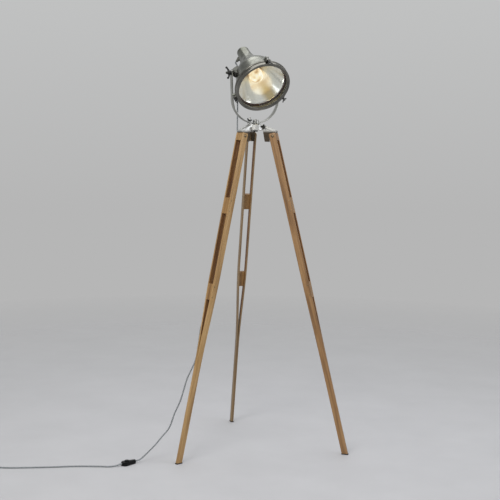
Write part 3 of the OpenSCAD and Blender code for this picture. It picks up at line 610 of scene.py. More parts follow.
@dataclass(frozen=True)
class GlassFinish:
    """Clear float glass: the lamp's inside shows through it, with more gloss the flatter it is seen."""

    name: str = "front_glass"
    tint: str = "#F6F8F6"
    roughness: float = 0.04
    gloss: Flat = (0.04, 0.6)

    def build(self) -> bpy.types.Material:
        """Makes the glass from a clear and a glossy shader.

        Returns:
            The material.
        """
        graph = Graph(bpy.data.materials.new(self.name))
        facing = graph.add("LayerWeight", out="Facing")
        edge = graph.add("Math", (facing, 5.0), operation="POWER")
        share = graph.add("MapRange", (edge, 0.0, 1.0, *self.gloss))
        clear = graph.add("BsdfTransparent", {"Color": self.tint})
        gloss = graph.add("BsdfGlossy", {"Roughness": self.roughness})
        mixed = graph.add("MixShader", (share, clear, gloss))
        graph.feed(graph.nodes["Material Output"], {"Surface": mixed})
        return graph.owner


@dataclass(frozen=True)
class BulbFinish:
    """A lit, frosted bulb: warm, in cloudy patches from pale cream to brown."""

    name: str = "lit_bulb"
    clouds: float = 29.4118
    power: float = 0.86

    def build(self) -> bpy.types.Material:
        """Makes the glowing glass.

        Returns:
            The material.
        """
        graph = Graph(bpy.data.materials.new(self.name))
        where = graph.add("TexCoord", out="Object")
        shade = graph.add(
            "TexNoise", {"Vector": where, "Scale": width(self.clouds), "Detail": 1.0, "Roughness": 0.4}
        )
        tone = graph.add("ValToRGB", (shade,), stops=((0.4, "#FFF6E4"), (0.52, "#F2DDB6"), (0.62, "#C8A274")))
        return graph.shade(
            {"Base Color": tone, "Emission Color": tone, "Emission Strength": self.power, "Roughness": 0.2}
        )


@dataclass(frozen=True)
class FloorFinish:
    """A matt painted studio floor that fades out far from the lamp."""

    name: str = "studio_floor"
    marks: float = 333.333
    fade: Flat = (0.6, 4.2)

    def build(self) -> bpy.types.Material:
        """Makes the floor's paint.

        Returns:
            The material.
        """
        graph = Graph(bpy.data.materials.new(self.name))
        where = graph.add("TexCoord", out="Object")
        marks = graph.add(
            "TexNoise", {"Vector": where, "Scale": width(self.marks), "Detail": 4.0, "Roughness": 0.6}
        )
        colour = graph.add("ValToRGB", (marks,), stops=((0.3, "#BABABC"), (0.7, "#C0C0C2")))
        graph.shade({"Base Color": colour, "Roughness": 0.6, "Specular IOR Level": 0.25})
        far = graph.add("VectorMath", (where,), "Value", operation="LENGTH")
        share = graph.add("MapRange", (far, *self.fade, 0.0, 1.0))
        paint = graph.nodes["Principled BSDF"].outputs[0]
        mixed = graph.add("MixShader", (share, paint, graph.add("BsdfTransparent")))
        graph.feed(graph.nodes["Material Output"], {"Surface": mixed})
        return graph.owner


class Finishes:
    """Every material of the lamp, made once."""

    # Wood tones per leg; the back leg's darker tones are painted shade
    LEG_TONES_AND_PAINTED_SHADE = {
        Leg.LEFT: ("#8A683A", "#B08C58", "#C6A472"),
        Leg.RIGHT: ("#765634", "#9A7448", "#B08A5C"),
        Leg.BACK: ("#6E563A", "#8E7450", "#A48A66"),
    }
    # Darker tones painted as shade on the faces between the laths
    INNER_PAINTED_SHADE_TONES = ("#5E3C1C", "#86592C", "#98703E")
    STAINED = ("#76542C", "#98713E", "#AB8550")
    SPUN = (35.714, 35.714, 1.1905)
    DRAWN = (8.9286, 0.89286, 8.9286)

    def __init__(self) -> None:
        """Builds the library."""
        self.wood: dict[Leg, bpy.types.Material] = {}
        self.inner_painted_shade: dict[Leg, bpy.types.Material] = {}
        self.spacer: dict[Leg, bpy.types.Material] = {}
        for leg in Leg:
            side = leg.name.lower()
            turn = tuple(leg_place(leg).inverted().to_euler())
            # Oiled ash: pale honey with darker rings. The back leg's tones are darker as painted shade, and the
            # right leg's are darker than the left's
            self.wood[leg] = WoodFinish(f"oiled_wood_{side}", *self.LEG_TONES_AND_PAINTED_SHADE[leg]).build(turn)
            # The faces between the laths get a darker, duller wood as painted shade
            self.inner_painted_shade[leg] = WoodFinish(f"raw_wood_{side}", *self.INNER_PAINTED_SHADE_TONES, 0.7).build(turn)
            # Stained ash: the spacers are a shade darker than the laths
            self.spacer[leg] = WoodFinish(f"spacer_wood_{side}", *self.STAINED).build(turn)
        head_turn = tuple(HEAD_PLACE.inverted().to_euler())
        # Spun steel, waxed: soft rings round its axis under uneven grey stains
        self.shell = MetalFinish(
            "spun_metal", "#4E4F48", "#84857C", 0.2, 0.36, self.SPUN, 0.1, 45.4545
        ).build(head_turn)
        # Turned steel: smoother than the shell, with a brownish tone
        self.bezel = MetalFinish(
            "bezel_metal", "#55544F", "#86847D", 0.14, 0.28, self.SPUN, 0.08
        ).build(head_turn)
        # Sand-cast metal: pale on the hub, with painted shade on the lugs below it
        self.crown = CastFinish().build()
        # Drawn flat steel: pale, with fine lines along the bar
        self.yoke = MetalFinish("bar_metal", "#84847F", "#BDBDB7", 0.2, 0.34, self.DRAWN, 0.08).build()
        # Plated bolts: pale and clean
        self.steel = MetalFinish("bolt_steel", "#8A8A88", "#B8B8B4", 0.22, 0.4).build()
        # Black oxide on cast wing nuts: near black with a little metal in it
        self.dark = PlainFinish("black_hardware", "#141414", "#242422", 0.38, 1.42857, 0.2, 0.3).build()
        # Aged bronze heads: brown and half matt
        self.bolt = MetalFinish("aged_bolt", "#6A5C48", "#94846A", 0.3, 0.48).build()
        # Moulded grey rubber: matt and even
        self.relief = PlainFinish("grey_rubber", "#46463F", "#5C5C54", 0.55, 2.0, 0.3).build()
        # Red-brown sealing rubber, matt
        self.seal = PlainFinish("seal_rubber", "#4A2C20", "#6E4430", 0.6, 2.0, 0.3).build()
        # Blackened steel plate: dark and satin
        self.bracket = MetalFinish("dark_bracket", "#3A3A36", "#5A5A54", 0.35, 0.55).build()
        # Moulded black plastic: deep black with a weak gloss
        self.plastic = PlainFinish("black_plastic", "#060607", "#0E0E0F", 0.42, specular=0.18).build()
        # Black rubber: matt, a shade lighter than the plastic
        self.rubber = PlainFinish("black_rubber", "#151515", "#212120", 0.7, 2.0, 0.3).build()
        # Glazed porcelain: cream white and glossy
        self.porcelain = PlainFinish("porcelain", "#D8D3C4", "#EDE9DC", 0.2, 5.0, 0.05).build()
        # Drawn brass: yellow and bright
        self.brass = MetalFinish("plug_brass", "#A58A48", "#CDB36A", 0.22, 0.36).build()
        # Cotton braid: blue-black and pale grey strands that mix to a cool grey from afar
        self.braid = BraidFinish("braided_cord", "#1C2226", "#B9BEC0").build()
        self.reflector = ReflectorFinish().build()
        self.glass = GlassFinish().build()
        self.bulb = BulbFinish().build()


# ---- Shapes ----


class Form:
    """A mesh under construction in a local frame."""

    def __init__(self, mesh: bmesh.types.BMesh | None = None) -> None:
        """Starts with an empty mesh or with a finished one.

        Args:
            mesh: the finished mesh, which is used up.
        """
        self.mesh = bmesh.new() if mesh is None else mesh

    def revolve(self, profile: Sequence[Flat], steps: int = 64, place: Matrix = Matrix()) -> Form:
        """Adds a revolved outline.

        Args:
            profile: radius and height pairs. It closes at the axis where its ends have radius 0.
            steps: segments round the axis.
            place: where the revolved shape goes.

        Returns:
            The form.
        """
        part = bmesh.new()
        verts = [part.verts.new((r, 0.0, h)) for r, h in profile]
        edges = [part.edges.new(pair) for pair in zip(verts, verts[1:])]
        if profile[0][0] > 1e-7 and profile[-1][0] > 1e-7:
            edges.append(part.edges.new((verts[-1], verts[0])))
        bmesh.ops.spin(
            part,
            geom=verts + edges,
            cent=(0, 0, 0),
            axis=(0, 0, 1),
            angle=2 * math.pi,
            steps=steps,
            use_merge=True,
            use_duplicate=False,
        )
        bmesh.ops.remove_doubles(part, verts=part.verts, dist=1e-7)
        return self.take(part, place)

    def prism(
        self,
        outline: Sequence[Flat],
        depth: float,
        edge: float = 0.0,
        place: Matrix = Matrix(),
        segments: int = 2,
    ) -> Form:
        """Adds an outline in the XY plane, extruded evenly about that plane.

        Args:
            outline: the corners in order.
            depth: thickness along Z.
            edge: width of the rounded edges, or 0.
            place: where the prism goes.
            segments: steps over each rounded edge.

        Returns:
            The form.
        """
        part = bmesh.new()
        base = part.faces.new([part.verts.new((x, y, -depth / 2)) for x, y in outline])
        raised = bmesh.ops.extrude_face_region(part, geom=[base])["geom"]
        top = [item for item in raised if isinstance(item, bmesh.types.BMVert)]
        bmesh.ops.translate(part, verts=top, vec=(0.0, 0.0, depth))
        if edge > 0:
            self.round_edges(part, edge, segments)
        return self.take(part, place)

    @staticmethod
    def round_edges(part: bmesh.types.BMesh, size: float, segments: int) -> None:
        """Rounds every edge that turns by more than about 25 degrees.

        Args:
            part: the mesh.
            size: width of the rounding.
            segments: steps over it.
        """
        bmesh.ops.recalc_face_normals(part, faces=part.faces)
        limit = 0.45
        sharp = [e for e in part.edges if len(e.link_faces) == 2 and e.calc_face_angle() > limit]
        bmesh.ops.bevel(
            part,
            geom=sharp,
            offset=size,
            offset_type="OFFSET",
            segments=segments,
            profile=0.5,
            affect="EDGES",
            clamp_overlap=True,
            material=-1,
        )

    def loft(self, rings: Sequence[Sequence[Vector]], place: Matrix = Matrix()) -> Form:
        """Adds a skin over closed rings, with both ends closed.

        Args:
            rings: the rings in order, each with as many points as the others.
            place: where the skin goes.

        Returns:
            The form.
        """
        part = bmesh.new()
        loops = []
        for ring in rings:
            verts = [part.verts.new(point) for point in ring]
            loops.append([part.edges.new(pair) for pair in zip(verts, verts[1:] + verts[:1])])
        for near, far in zip(loops, loops[1:]):
            bmesh.ops.bridge_loops(part, edges=near + far)
        bmesh.ops.holes_fill(part, edges=loops[0] + loops[-1])
        return self.take(part, place)

    def take(self, part: bmesh.types.BMesh, place: Matrix = Matrix()) -> Form:
        """Moves a finished part into this form, its faces outward.

        Args:
            part: the part's mesh, which is used up.
            place: where the part goes.

        Returns:
            The form.
        """
        bmesh.ops.transform(part, matrix=place, verts=part.verts)
        bmesh.ops.recalc_face_normals(part, faces=part.faces)
        spare = bpy.data.meshes.new("spare")
        part.to_mesh(spare)
        part.free()
        self.mesh.from_mesh(spare)
        bpy.data.meshes.remove(spare)
        return self

    def finish(
        self,
        name: str,
        material: bpy.types.Material,
        place: Matrix = Matrix(),
        body: str | None = None,
        slot: str | None = None,
        replaces: Sequence[str] = (),
        smooth: float = 32.0,
    ) -> bpy.types.Object:
        """Turns the form into a piece.

        Args:
            name: the piece's name.
            material: its material.
            place: from the local frame to the row frame.
            body: the body it rides on, or None for one that rides on none.
            slot: the record's material slot; not used.
            replaces: the CAD nodes that it stands for.
            smooth: the angle in degrees above which an edge stays sharp.

        Returns:
            The piece.
        """
        bmesh.ops.transform(self.mesh, matrix=place, verts=self.mesh.verts)
        data = bpy.data.meshes.new(name)
        self.mesh.to_mesh(data)
        self.mesh.free()
        data.polygons.foreach_set("use_smooth", [True] * len(data.polygons))
        data.set_sharp_from_angle(angle=math.radians(smooth))
        data.materials.append(material)
        piece = bpy.data.objects.new(name, data)
        bpy.context.scene.collection.objects.link(piece)
        if body is not None:
            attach(piece, body)
        if replaces:
            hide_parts(*replaces)
        return piece


def corner_points(reach: float, depth: float, edge: float, corner: float, steps: int) -> list[Flat]:
    """Section of a bar with rounded corners.

    Args:
        reach: half of its first side.
        depth: half of its second side.
        edge: rounding along the first side.
        corner: rounding along the second side.
        steps: points on each corner.

    Returns:
        The section's points in order.
    """
    points: list[Flat] = []
    for sx, sy, start in ((1, 1, 0), (-1, 1, 90), (-1, -1, 180), (1, -1, 270)):
        for k in range(steps):
            turn = math.radians(start + 90 * k / (steps - 1))
            x = sx * (reach - edge) + edge * math.cos(turn)
            points.append((x, sy * (depth - corner) + corner * math.sin(turn)))
    return points


def arc(cx: float, cy: float, r: float, start: float, end: float, steps: int) -> list[Flat]:
    """Points of a circular arc, angles in degrees."""
    turns = [math.radians(start + (end - start) * i / steps) for i in range(steps + 1)]
    return [(cx + r * math.cos(t), cy + r * math.sin(t)) for t in turns]


@dataclass(frozen=True)
class WingNut:
    """A cast wing nut on Z with its base on Z = 0."""

    bolt: float
    hub: float
    wing_start: float
    wing_height: float
    span: float
    thickness: float
    play: float = 0.00008

    def add(self, form: Form, place: Matrix) -> None:
        """Adds the nut to a form.

        Args:
            form: the form.
            place: where the nut goes.
        """
        start, height, hub = self.wing_start, self.wing_height, self.hub
        top = start + height * 0.55
        inner = self.bolt + self.play
        profile = [(inner, 0.0), (hub - 0.0006, 0.0), (hub, 0.0006), (hub * 0.97, top * 0.3)]
        profile += [(hub * 0.88, top - 0.0008), (hub * 0.82, top), (inner, top)]
        form.revolve(profile, 40, place)
        tip = height * 0.28
        wing = [(inner + 0.0004, start + height * 0.1), (hub * 0.96, start)]
        wing += arc(self.span / 2 - tip, start + height - tip, tip, -35, 190, 12)
        wing += [(inner + 0.0004, start + height * 0.5)]
        for side in (-1, 1):
            outline = [(side * x, y) for x, y in wing]
            form.prism(outline, self.thickness, self.thickness * 0.3, place @ spin("X", 90.0))


def threaded(radius: float, start: float, end: float, pitch: float) -> list[Flat]:
    """Outline of a threaded length, as fine grooves.

    Args:
        radius: the bolt's radius.
        start: where the thread starts along the bolt.
        end: where it ends.
        pitch: distance from groove to groove.

    Returns:
        Radius and height pairs.
    """
    depth = 0.0004
    count = max(1, int((end - start) / pitch))
    step = (end - start) / count
    points: list[Flat] = []
    for i in range(count):
        low = start + i * step
        points += [(radius - depth, low), (radius, low + step * 0.35), (radius, low + step * 0.65)]
    return points + [(radius - depth, end)]


def wear(piece: bpy.types.Object, material: bpy.types.Material) -> None:
    """Gives a whole solid one material.

    Args:
        piece: the solid.
        material: the material.
    """
    slots = piece.data.materials
    if not slots:
        slots.append(material)
    for i in range(len(slots)):
        slots[i] = material


@dataclass(frozen=True)
class SubAssembly:
    """A part of the lamp that makes its own pieces and dresses its plain solids."""

    finishes: Finishes

    def build(self) -> list[bpy.types.Object]:
        """Makes the pieces. A part of plain solids alone has none."""
        return []

    def solids(self) -> dict[str, bpy.types.Material]:
        """The solids that stay, by node, with what they are made of."""
        return {}

    def dress(self, nodes: dict[str, bpy.types.Object]) -> None:
        """Gives the solids that stay their materials.

        Args:
            nodes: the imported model's nodes.
        """
        for name, material in self.solids().items():
            wear(nodes[name], material)


# ---- Cord ----


def placed(points: Sequence[Point], place: Matrix) -> list[Vector]:
    """Route points of a frame in millimetres, as points of the row frame."""
    return [place @ Vector((x / 1000, y / 1000, z / 1000)) for x, y, z in points]


def metres(points: Sequence[Point]) -> list[Vector]:
    """Route points of the lamp's own frame in millimetres, as points of the row frame."""
    return placed(points, LAMP_PLACE)


def leg_points(points: Sequence[Point]) -> list[Vector]:
    """Route points of the left leg's frame in millimetres, as points of the row frame."""
    return placed(points, leg_place(Leg.LEFT))


def smooth_path(points: Sequence[Vector], steps: int) -> list[Vector]:
    """Runs a smooth curve through points.

    Args:
        points: the route.
        steps: points made for each of the route's stretches.

    Returns:
        The finer route.
    """
    fine: list[Vector] = []
    last = len(points) - 1
    for i in range(last):
        a, b = points[max(i - 1, 0)], points[i]
        c, d = points[i + 1], points[min(i + 2, last)]
        for k in range(steps):
            t = k / steps
            fine.append(
                0.5
                * (
                    2 * b
                    + (c - a) * t
                    + (2 * a - 5 * b + 4 * c - d) * t * t
                    + (3 * b - a - 3 * c + d) * t * t * t
                )
            )
    return fine + [points[last].copy()]


def straight_ended(points: Sequence[Vector], steps: int) -> list[Vector]:
    """Runs a smooth curve through points, with the first and the last stretch straight."""
    return [points[0]] + smooth_path(points[1:-1], steps) + [points[-1]]


def yoke_points(points: Sequence[Point]) -> list[Vector]:
    """Route points with their height as a share of the way from the yoke's base to the tilt axis."""
    base, span = SIZES.yoke_base * 1000, (SIZES.pivot_height - SIZES.yoke_base) * 1000
    return metres([(x, y, base + span * share) for x, y, share in points])


# The cord gland's angle round the neck, and how far it stands before the neck's end
GLAND_TURN = 215.0
GLAND_FORWARD = 0.025


def cord_route() -> dict[str, list[Vector]]:
    """Works out every stretch of the cord between the head and the foot switch.

    Returns:
        The stretches by name, as points of the row frame.
    """
    turn = math.radians(GLAND_TURN)
    side, up = math.sin(turn), math.cos(turn)
    back = (GLAND_FORWARD - SIZES.neck_reach) * 1000
    head_cut, head_from, head_to = yoke_points([(-72, 31, 0.222), (-70.6, 37, 0.3), (-73.2, 27, 0.16)])
    yoke_cut, yoke_from, yoke_to = yoke_points([(-75.5, 17, 0.02), (-75.2, 18.6, 0.045), (-76, 14.5, -0.015)])
    straight = 0.006
    head_way = (head_to - head_from).normalized() * straight
    yoke_way = (yoke_to - yoke_from).normalized() * straight
    head = placed([(side * 47, up * 47, back), (side * 54, up * 54, back)], HEAD_PLACE)
    head += yoke_points([(-54, 129, 1.14), (-56, 117, 1.03), (-60, 90, 0.79), (-66, 62, 0.56)])
    head += [head_cut - head_way, head_cut]
    entry = leg_points(
        [
            (-4, -36, 16),
            (-11, -34, -2),
            (-19, -28, -22),
            (-22, -20, -40),
            (-21, -10, -60),
            (-15, -2, -85),
            (-9.5, 1, -115),
            (-8.5, 0, -150),
        ]
    )
    low = -(SIZES.spacer_shares[1] * SIZES.leg_length + SIZES.spacer_length / 2) * 1000
    out = [
        (-8.5, 0, low + 1),
        (-12, -0.5, low - 26),
        (-19, -4, low - 47),
        (-23, -11, low - 67),
        (-17, -19, low - 87),
        (-6, -22.6, low - 102),
        (-2.2, -22.9, low - 108),
    ]
    hang = leg_points([(-2.2, -22.9, low - 108), (1, -23.4, low - 117)]) + metres(
        [
            (-258, -120, 493),
            (-270, -121, 416),
            (-291, -124, 369),
            (-310, -126, 328),
            (-335, -129, 246),
            (-360, -132, 193),
            (-382, -135, 135),
            (-413, -139, 99),
            (-443, -142, 65),
            (-472, -146, 38),
            (-491, -149.5, 22),
            (-506, -154, 12),
            (-520, -160, 9.5),
            (-527, -163.5, 9.5),
        ]
    )
    return {
        "head": head,
        "drop": [head_cut, head_cut + head_way, yoke_cut - yoke_way, yoke_cut],
        "entry": [yoke_cut, yoke_cut + yoke_way] + entry,
        "channel": leg_points([(-8.5, 0, -150 + (low + 151) * i / 10) for i in range(11)]),
        "out": leg_points(out),
        "hang": hang,
    }


# The foot switch on the floor, and the coil of spare cord at the far end
SWITCH_RIGHT = Vector((-0.527, -0.1635 + SIZES.axis_y, 0.0095))
SWITCH_TURN = 206.6
SWITCH_LENGTH = 0.066
SWITCH_WAY = spin("Z", SWITCH_TURN) @ Vector((1.0, 0.0, 0.0))
COIL_CENTRE = Vector((-1.130, SIZES.axis_y - 0.172, 0.0))
COIL_RADIUS = 0.0444
COIL_LOOPS = 6
COIL_PITCH = 0.00675
COIL_LIFT = 0.0045


def coil_points() -> list[Vector]:
    """The coil that is put away: inward on the floor, up a layer, and outward again.

    Returns:
        Its centre line, as points of the row frame.
    """
    start = COIL_CENTRE + Vector((0.012, COIL_RADIUS, COIL_LIFT))
    turns: list[Vector] = []
    steps = 24
    for i in range(COIL_LOOPS * steps + 1):
        t = i / steps
        fall = COIL_PITCH * (t if t < COIL_LOOPS / 2 else COIL_LOOPS - t)
        share = min(1.0, max(0.0, (t - COIL_LOOPS / 2 + 0.25) * 2))
        climb = COIL_PITCH * share * share * (3 - 2 * share)
        angle = math.pi / 2 + 2 * math.pi * t
        r = COIL_RADIUS - fall
        turns.append(COIL_CENTRE + Vector((r * math.cos(angle), r * math.sin(angle), COIL_LIFT + climb)))
    end = turns[-1] - Vector((0.020, 0, 0))
    return [start, start - Vector((0.006, 0, 0))] + turns + [end + Vector((0.006, 0, 0)), end]


def floor_points() -> list[Vector]:
    """The run along the floor from the foot switch to the coil.

    Returns:
        Its route, as points of the row frame.
    """
    left = SWITCH_RIGHT + SWITCH_WAY * SWITCH_LENGTH
    coil = coil_points()[0]
    return (
        [left, left + SWITCH_WAY * 0.008]
        + metres(
            [
                (-612, -200, 5),
                (-640, -201, 3.3),
                (-676, -190, 3.3),
                (-771, -170, 3.3),
                (-870, -162, 3.3),
                (-969, -150, 3.3),
                (-1040, -138, 3.3),
            ]
        )
        + [coil + Vector((0.040, 0.003, 0.0033 - COIL_LIFT)), coil + Vector((0.007, 0, 0)), coil]
    )


@dataclass(frozen=True)
class Cords(SubAssembly):
    """The braided cord, stretch by stretch, with what each stretch follows."""

    diameter: float = 0.006
    sides: int = 14
    give: float = 0.8

    def solids(self) -> dict[str, bpy.types.Material]:
        """The foot switch, the tie and the plug."""
        plastic = dict.fromkeys(("switch_housing", "switch_button", "plug_body"), self.finishes.plastic)
        return plastic | {"cord_tie": self.finishes.rubber, "plug_pins": self.finishes.brass}

    def tube(self, name: str, path: Sequence[Vector], node: str) -> bpy.types.Object:
        """Makes one stretch as a tube with a map of its length and turn.

        Args:
            name: the piece's name.
            path: its centre line.
            node: the CAD node that it stands for.

        Returns:
            The piece, not yet riding on anything.
        """
        sides = self.sides
        part = bmesh.new()
        chart = part.loops.layers.uv.new("along")
        rings: list[list[bmesh.types.BMVert]] = []
        lengths = [0.0]
        for a, b in zip(path, path[1:]):
            lengths.append(lengths[-1] + (b - a).length)
        across: Vector | None = None
        for i, point in enumerate(path):
            way = (path[min(i + 1, len(path) - 1)] - path[max(i - 1, 0)]).normalized()
            if across is None:
                across = way.orthogonal().normalized()
            across = (across - way * across.dot(way)).normalized()
            other = way.cross(across)
            ring = []
            for k in range(sides):
                turn = 2 * math.pi * k / sides
                spot = point + (across * math.cos(turn) + other * math.sin(turn)) * (self.diameter / 2)
                ring.append(part.verts.new(spot))
            rings.append(ring)
        for i, (near, far) in enumerate(zip(rings, rings[1:])):
            for k in range(sides):
                j = (k + 1) % sides
                face = part.faces.new((near[k], near[j], far[j], far[k]))
                corners = ((lengths[i], k), (lengths[i], k + 1), (lengths[i + 1], k + 1), (lengths[i + 1], k))
                for loop, (u, v) in zip(face.loops, corners):
                    loop[chart].uv = (u, v / sides)
        part.faces.new(list(reversed(rings[0])))
        part.faces.new(rings[-1])
        bmesh.ops.recalc_face_normals(part, faces=part.faces)
        braid = self.finishes.braid
        return Form(part).finish(name, braid, slot="braided_cord", replaces=(node,), smooth=60.0)

    def stretch(
        self,
        name: str,
        node: str,
        path: Sequence[Vector],
        body: str | tuple[str, str],
        far_end: str = "object",
        lay: str = "loose",
        with_pieces: Sequence[object] = (),
        span: tuple[Vector, Vector] | None = None,
    ) -> bpy.types.Object:
        """Makes one stretch.

        Args:
            name: the piece's name.
            node: the CAD node that it stands for.
            path: its centre line.
            body: the body it rides on, or two bodies, and then it rides on neither.
            far_end: what is at its far end; not used.
            lay: how it lies; not used.
            with_pieces: the separate pieces on it; not used.
            span: where the bend between two bodies starts and ends, if not at its ends; not used.

        Returns:
            The piece.
        """
        piece = self.tube(name, path, node)
        if isinstance(body, str):
            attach(piece, body)
        else:
            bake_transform(piece)
        return piece

    def build(self) -> list[bpy.types.Object]:
        """Makes every stretch from the head to the plug.

        Returns:
            The stretches.
        """
        route = cord_route()
        entry = straight_ended(route["entry"], 4)
        channel = smooth_path(route["channel"], 2)
        leaving = smooth_path(route["out"], 4)
        hang = smooth_path(route["hang"], 4)
        floor = smooth_path(floor_points(), 5)
        # The span covers most of the free drop
        span = (leaving[0], hang[int(len(hang) * self.give)])
        to_yoke = straight_ended(route["head"], 4)
        past_yoke = straight_ended(route["drop"], 8)
        pieces = [
            self.stretch("cord_from_head", "cord_head", to_yoke, ("head", "yoke"), lay="hanging"),
            self.stretch("cord_past_yoke", "cord_yoke", past_yoke, ("yoke", "crown"), lay="hanging"),
            self.stretch("cord_into_leg", "cord_leg", entry, ("crown", "left_leg")),
            self.stretch("cord_in_leg", "cord_leg", channel, "left_leg", lay="taut"),
            self.stretch("cord_out_of_leg", "cord_leg", leaving, ("left_leg", "crown"), span=span),
            self.stretch(
                "cord_to_switch",
                "cord_drop",
                hang,
                ("left_leg", "crown"),
                with_pieces=["switch_housing", "switch_button"],
                span=span,
            ),
            self.stretch(
                "cord_to_plug",
                "cord_floor",
                floor[:-1] + coil_points(),
                "crown",
                far_end="plug",
                with_pieces=["cord_tie", "plug_body", "plug_pins"],
            ),
        ]
        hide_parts("cord_coil")
        return pieces


# ---- Tripod ----


@dataclass(frozen=True)
class TripodLeg(SubAssembly):
    """One leg: two bowed laths with their screws, and the solid pieces between them."""

    leg: Leg
    edge: float = 0.0013
    pad: float = 0.004
    top_insets: Point = (0.0030, 0.0018, 0.0009)
    steps: int = 90
    screw_shift: float = 0.021
    screw_offset: float = 0.0065

    def solids(self) -> dict[str, bpy.types.Material]:
        """The hinge block and its bolt, the spacers and the foot.

        Returns:
            The material of each solid.
        """
        finishes = self.finishes
        parts = {
            "hinge_block": finishes.wood[self.leg],
            "spacer_upper": finishes.spacer[self.leg],
            "spacer_lower": finishes.spacer[self.leg],
            "foot_pad": finishes.rubber,
            "hinge_bolt": finishes.bolt,
        }
        return {self.leg.node(part): material for part, material in parts.items()}

    @staticmethod
    def half_gap(share: float) -> float:
        """Half of the gap between the laths.

        Args:
            share: where along the leg, 0 at its hinge and 1 at its foot.

        Returns:
            The half gap in metres.
        """
        if share < SIZES.bow_start:
            return SIZES.half_gap + (SIZES.half_gap_bow - SIZES.half_gap) * max(0.0, share) / SIZES.bow_start
        t = min(1.0, (share - SIZES.bow_start) / (SIZES.bow_end - SIZES.bow_start))
        return SIZES.half_gap_bow * (1 - t * t * (3 - 2 * t))

    @staticmethod
    def half_depth(z: float) -> float:
        """Half of a lath's depth at a distance along the leg."""
        share = max(0.0, -z / SIZES.leg_length)
        return (SIZES.lath_depth + (SIZES.lath_depth_foot - SIZES.lath_depth) * share) / 2

    def section(self, side: int, z: float, inset: float = 0.0) -> list[Vector]:
        """Section of one lath.

        Args:
            side: 1 or -1, the side of the leg.
            z: distance along the leg.
            inset: how much the section is drawn in.

        Returns:
            The section's points in the leg's frame.
        """
        middle = side * (self.half_gap(-z / SIZES.leg_length) + SIZES.lath_thickness / 2)
        half = SIZES.lath_thickness / 2 - inset * 0.5
        points = corner_points(self.half_depth(z) - inset, half, self.edge, self.edge, 4)
        return [Vector((x, middle + y, z)) for x, y in points]

    def lath(self, side: int, name: str) -> bpy.types.Object:
        """Makes one lath as a skin over rounded sections, cut level at its foot.

        Args:
            side: 1 or -1, the side of the leg.
            name: the CAD node that it stands for.

        Returns:
            The lath.
        """
        top, lean = SIZES.lath_top, SIZES.lean
        stations = [top - 0.0002, top - 0.0012] + [top - 0.003 - i * 0.0045 for i in range(3)]
        stations += [-SIZES.leg_length * i / self.steps for i in range(1, self.steps)]
        insets = self.top_insets + (0.0,) * (len(stations) - len(self.top_insets))
        rings = [self.section(side, z, inset) for z, inset in zip(stations, insets)]
        last = self.section(side, -SIZES.leg_length)
        for point in last:
            point.z = (self.pad - SIZES.hinge_height - point.x * math.sin(lean)) / math.cos(lean)
        form = Form().loft(rings + [last])
        # The faces between the laths get the darker wood of painted shade, down to where the laths meet
        for face in form.mesh.faces:
            if face.normal.y * side < -0.9 and abs(face.calc_center_median().y) > 0.004:
                face.material_index = 1
        wood = self.finishes.wood[self.leg]
        place = leg_place(self.leg)
        board = form.finish(f"{name}_board", wood, place, self.leg.body, "ash_wood", (name,), 40.0)
        board.data.materials.append(self.finishes.inner_painted_shade[self.leg])
        return board

    def screws(self) -> bpy.types.Object:
        """Makes the small screw heads that hold the spacers.

        Returns:
            The screw heads as one piece.
        """
        form = Form()
        head = [(0, 0.0006), (0.0019, 0.0006), (0.0029, 0.0002), (0.003, -0.001), (0, -0.001)]
        blade = [(-0.0022, -0.0003), (0.0022, -0.0003), (0.0022, 0.0003), (-0.0022, 0.0003)]
        for share in SIZES.spacer_shares:
            for along in (-self.screw_shift, self.screw_shift):
                z = -share * SIZES.leg_length + along
                reach = self.half_gap(-z / SIZES.leg_length) + SIZES.lath_thickness
                for side in (-1, 1):
                    place = shift(self.screw_offset, side * (reach - 0.0003), z) @ spin("X", -90.0 * side)
                    form.revolve(head, 20, place)
                    form.prism(blade, 0.0003, 0, place @ shift(z=0.0007))
        body = self.leg.body
        return form.finish(f"{body}_screws", self.finishes.bolt, leg_place(self.leg), body, "dark_hardware")

    def build(self) -> list[bpy.types.Object]:
        """Makes the laths and their screws."""
        laths = [self.lath(side, self.leg.node(part)) for side, part in ((1, "lath_a"), (-1, "lath_b"))]
        return laths + [self.screws()]


class Crown(SubAssembly):
    """The cast crown with its bolt, washer, nut and clamp screw, all plain solids."""

    def solids(self) -> dict[str, bpy.types.Material]:
        """The casting, its bolt, washer, nut and clamp screw.

        Returns:
            The material of each solid.
        """
        finishes = self.finishes
        return {
            "crown_casting": finishes.crown,
            "centre_bolt": finishes.dark,
            "swivel_washer": finishes.rubber,
            "centre_nut": finishes.steel,
            "hub_screw": finishes.bracket,
        }


# ---- Head and yoke ----


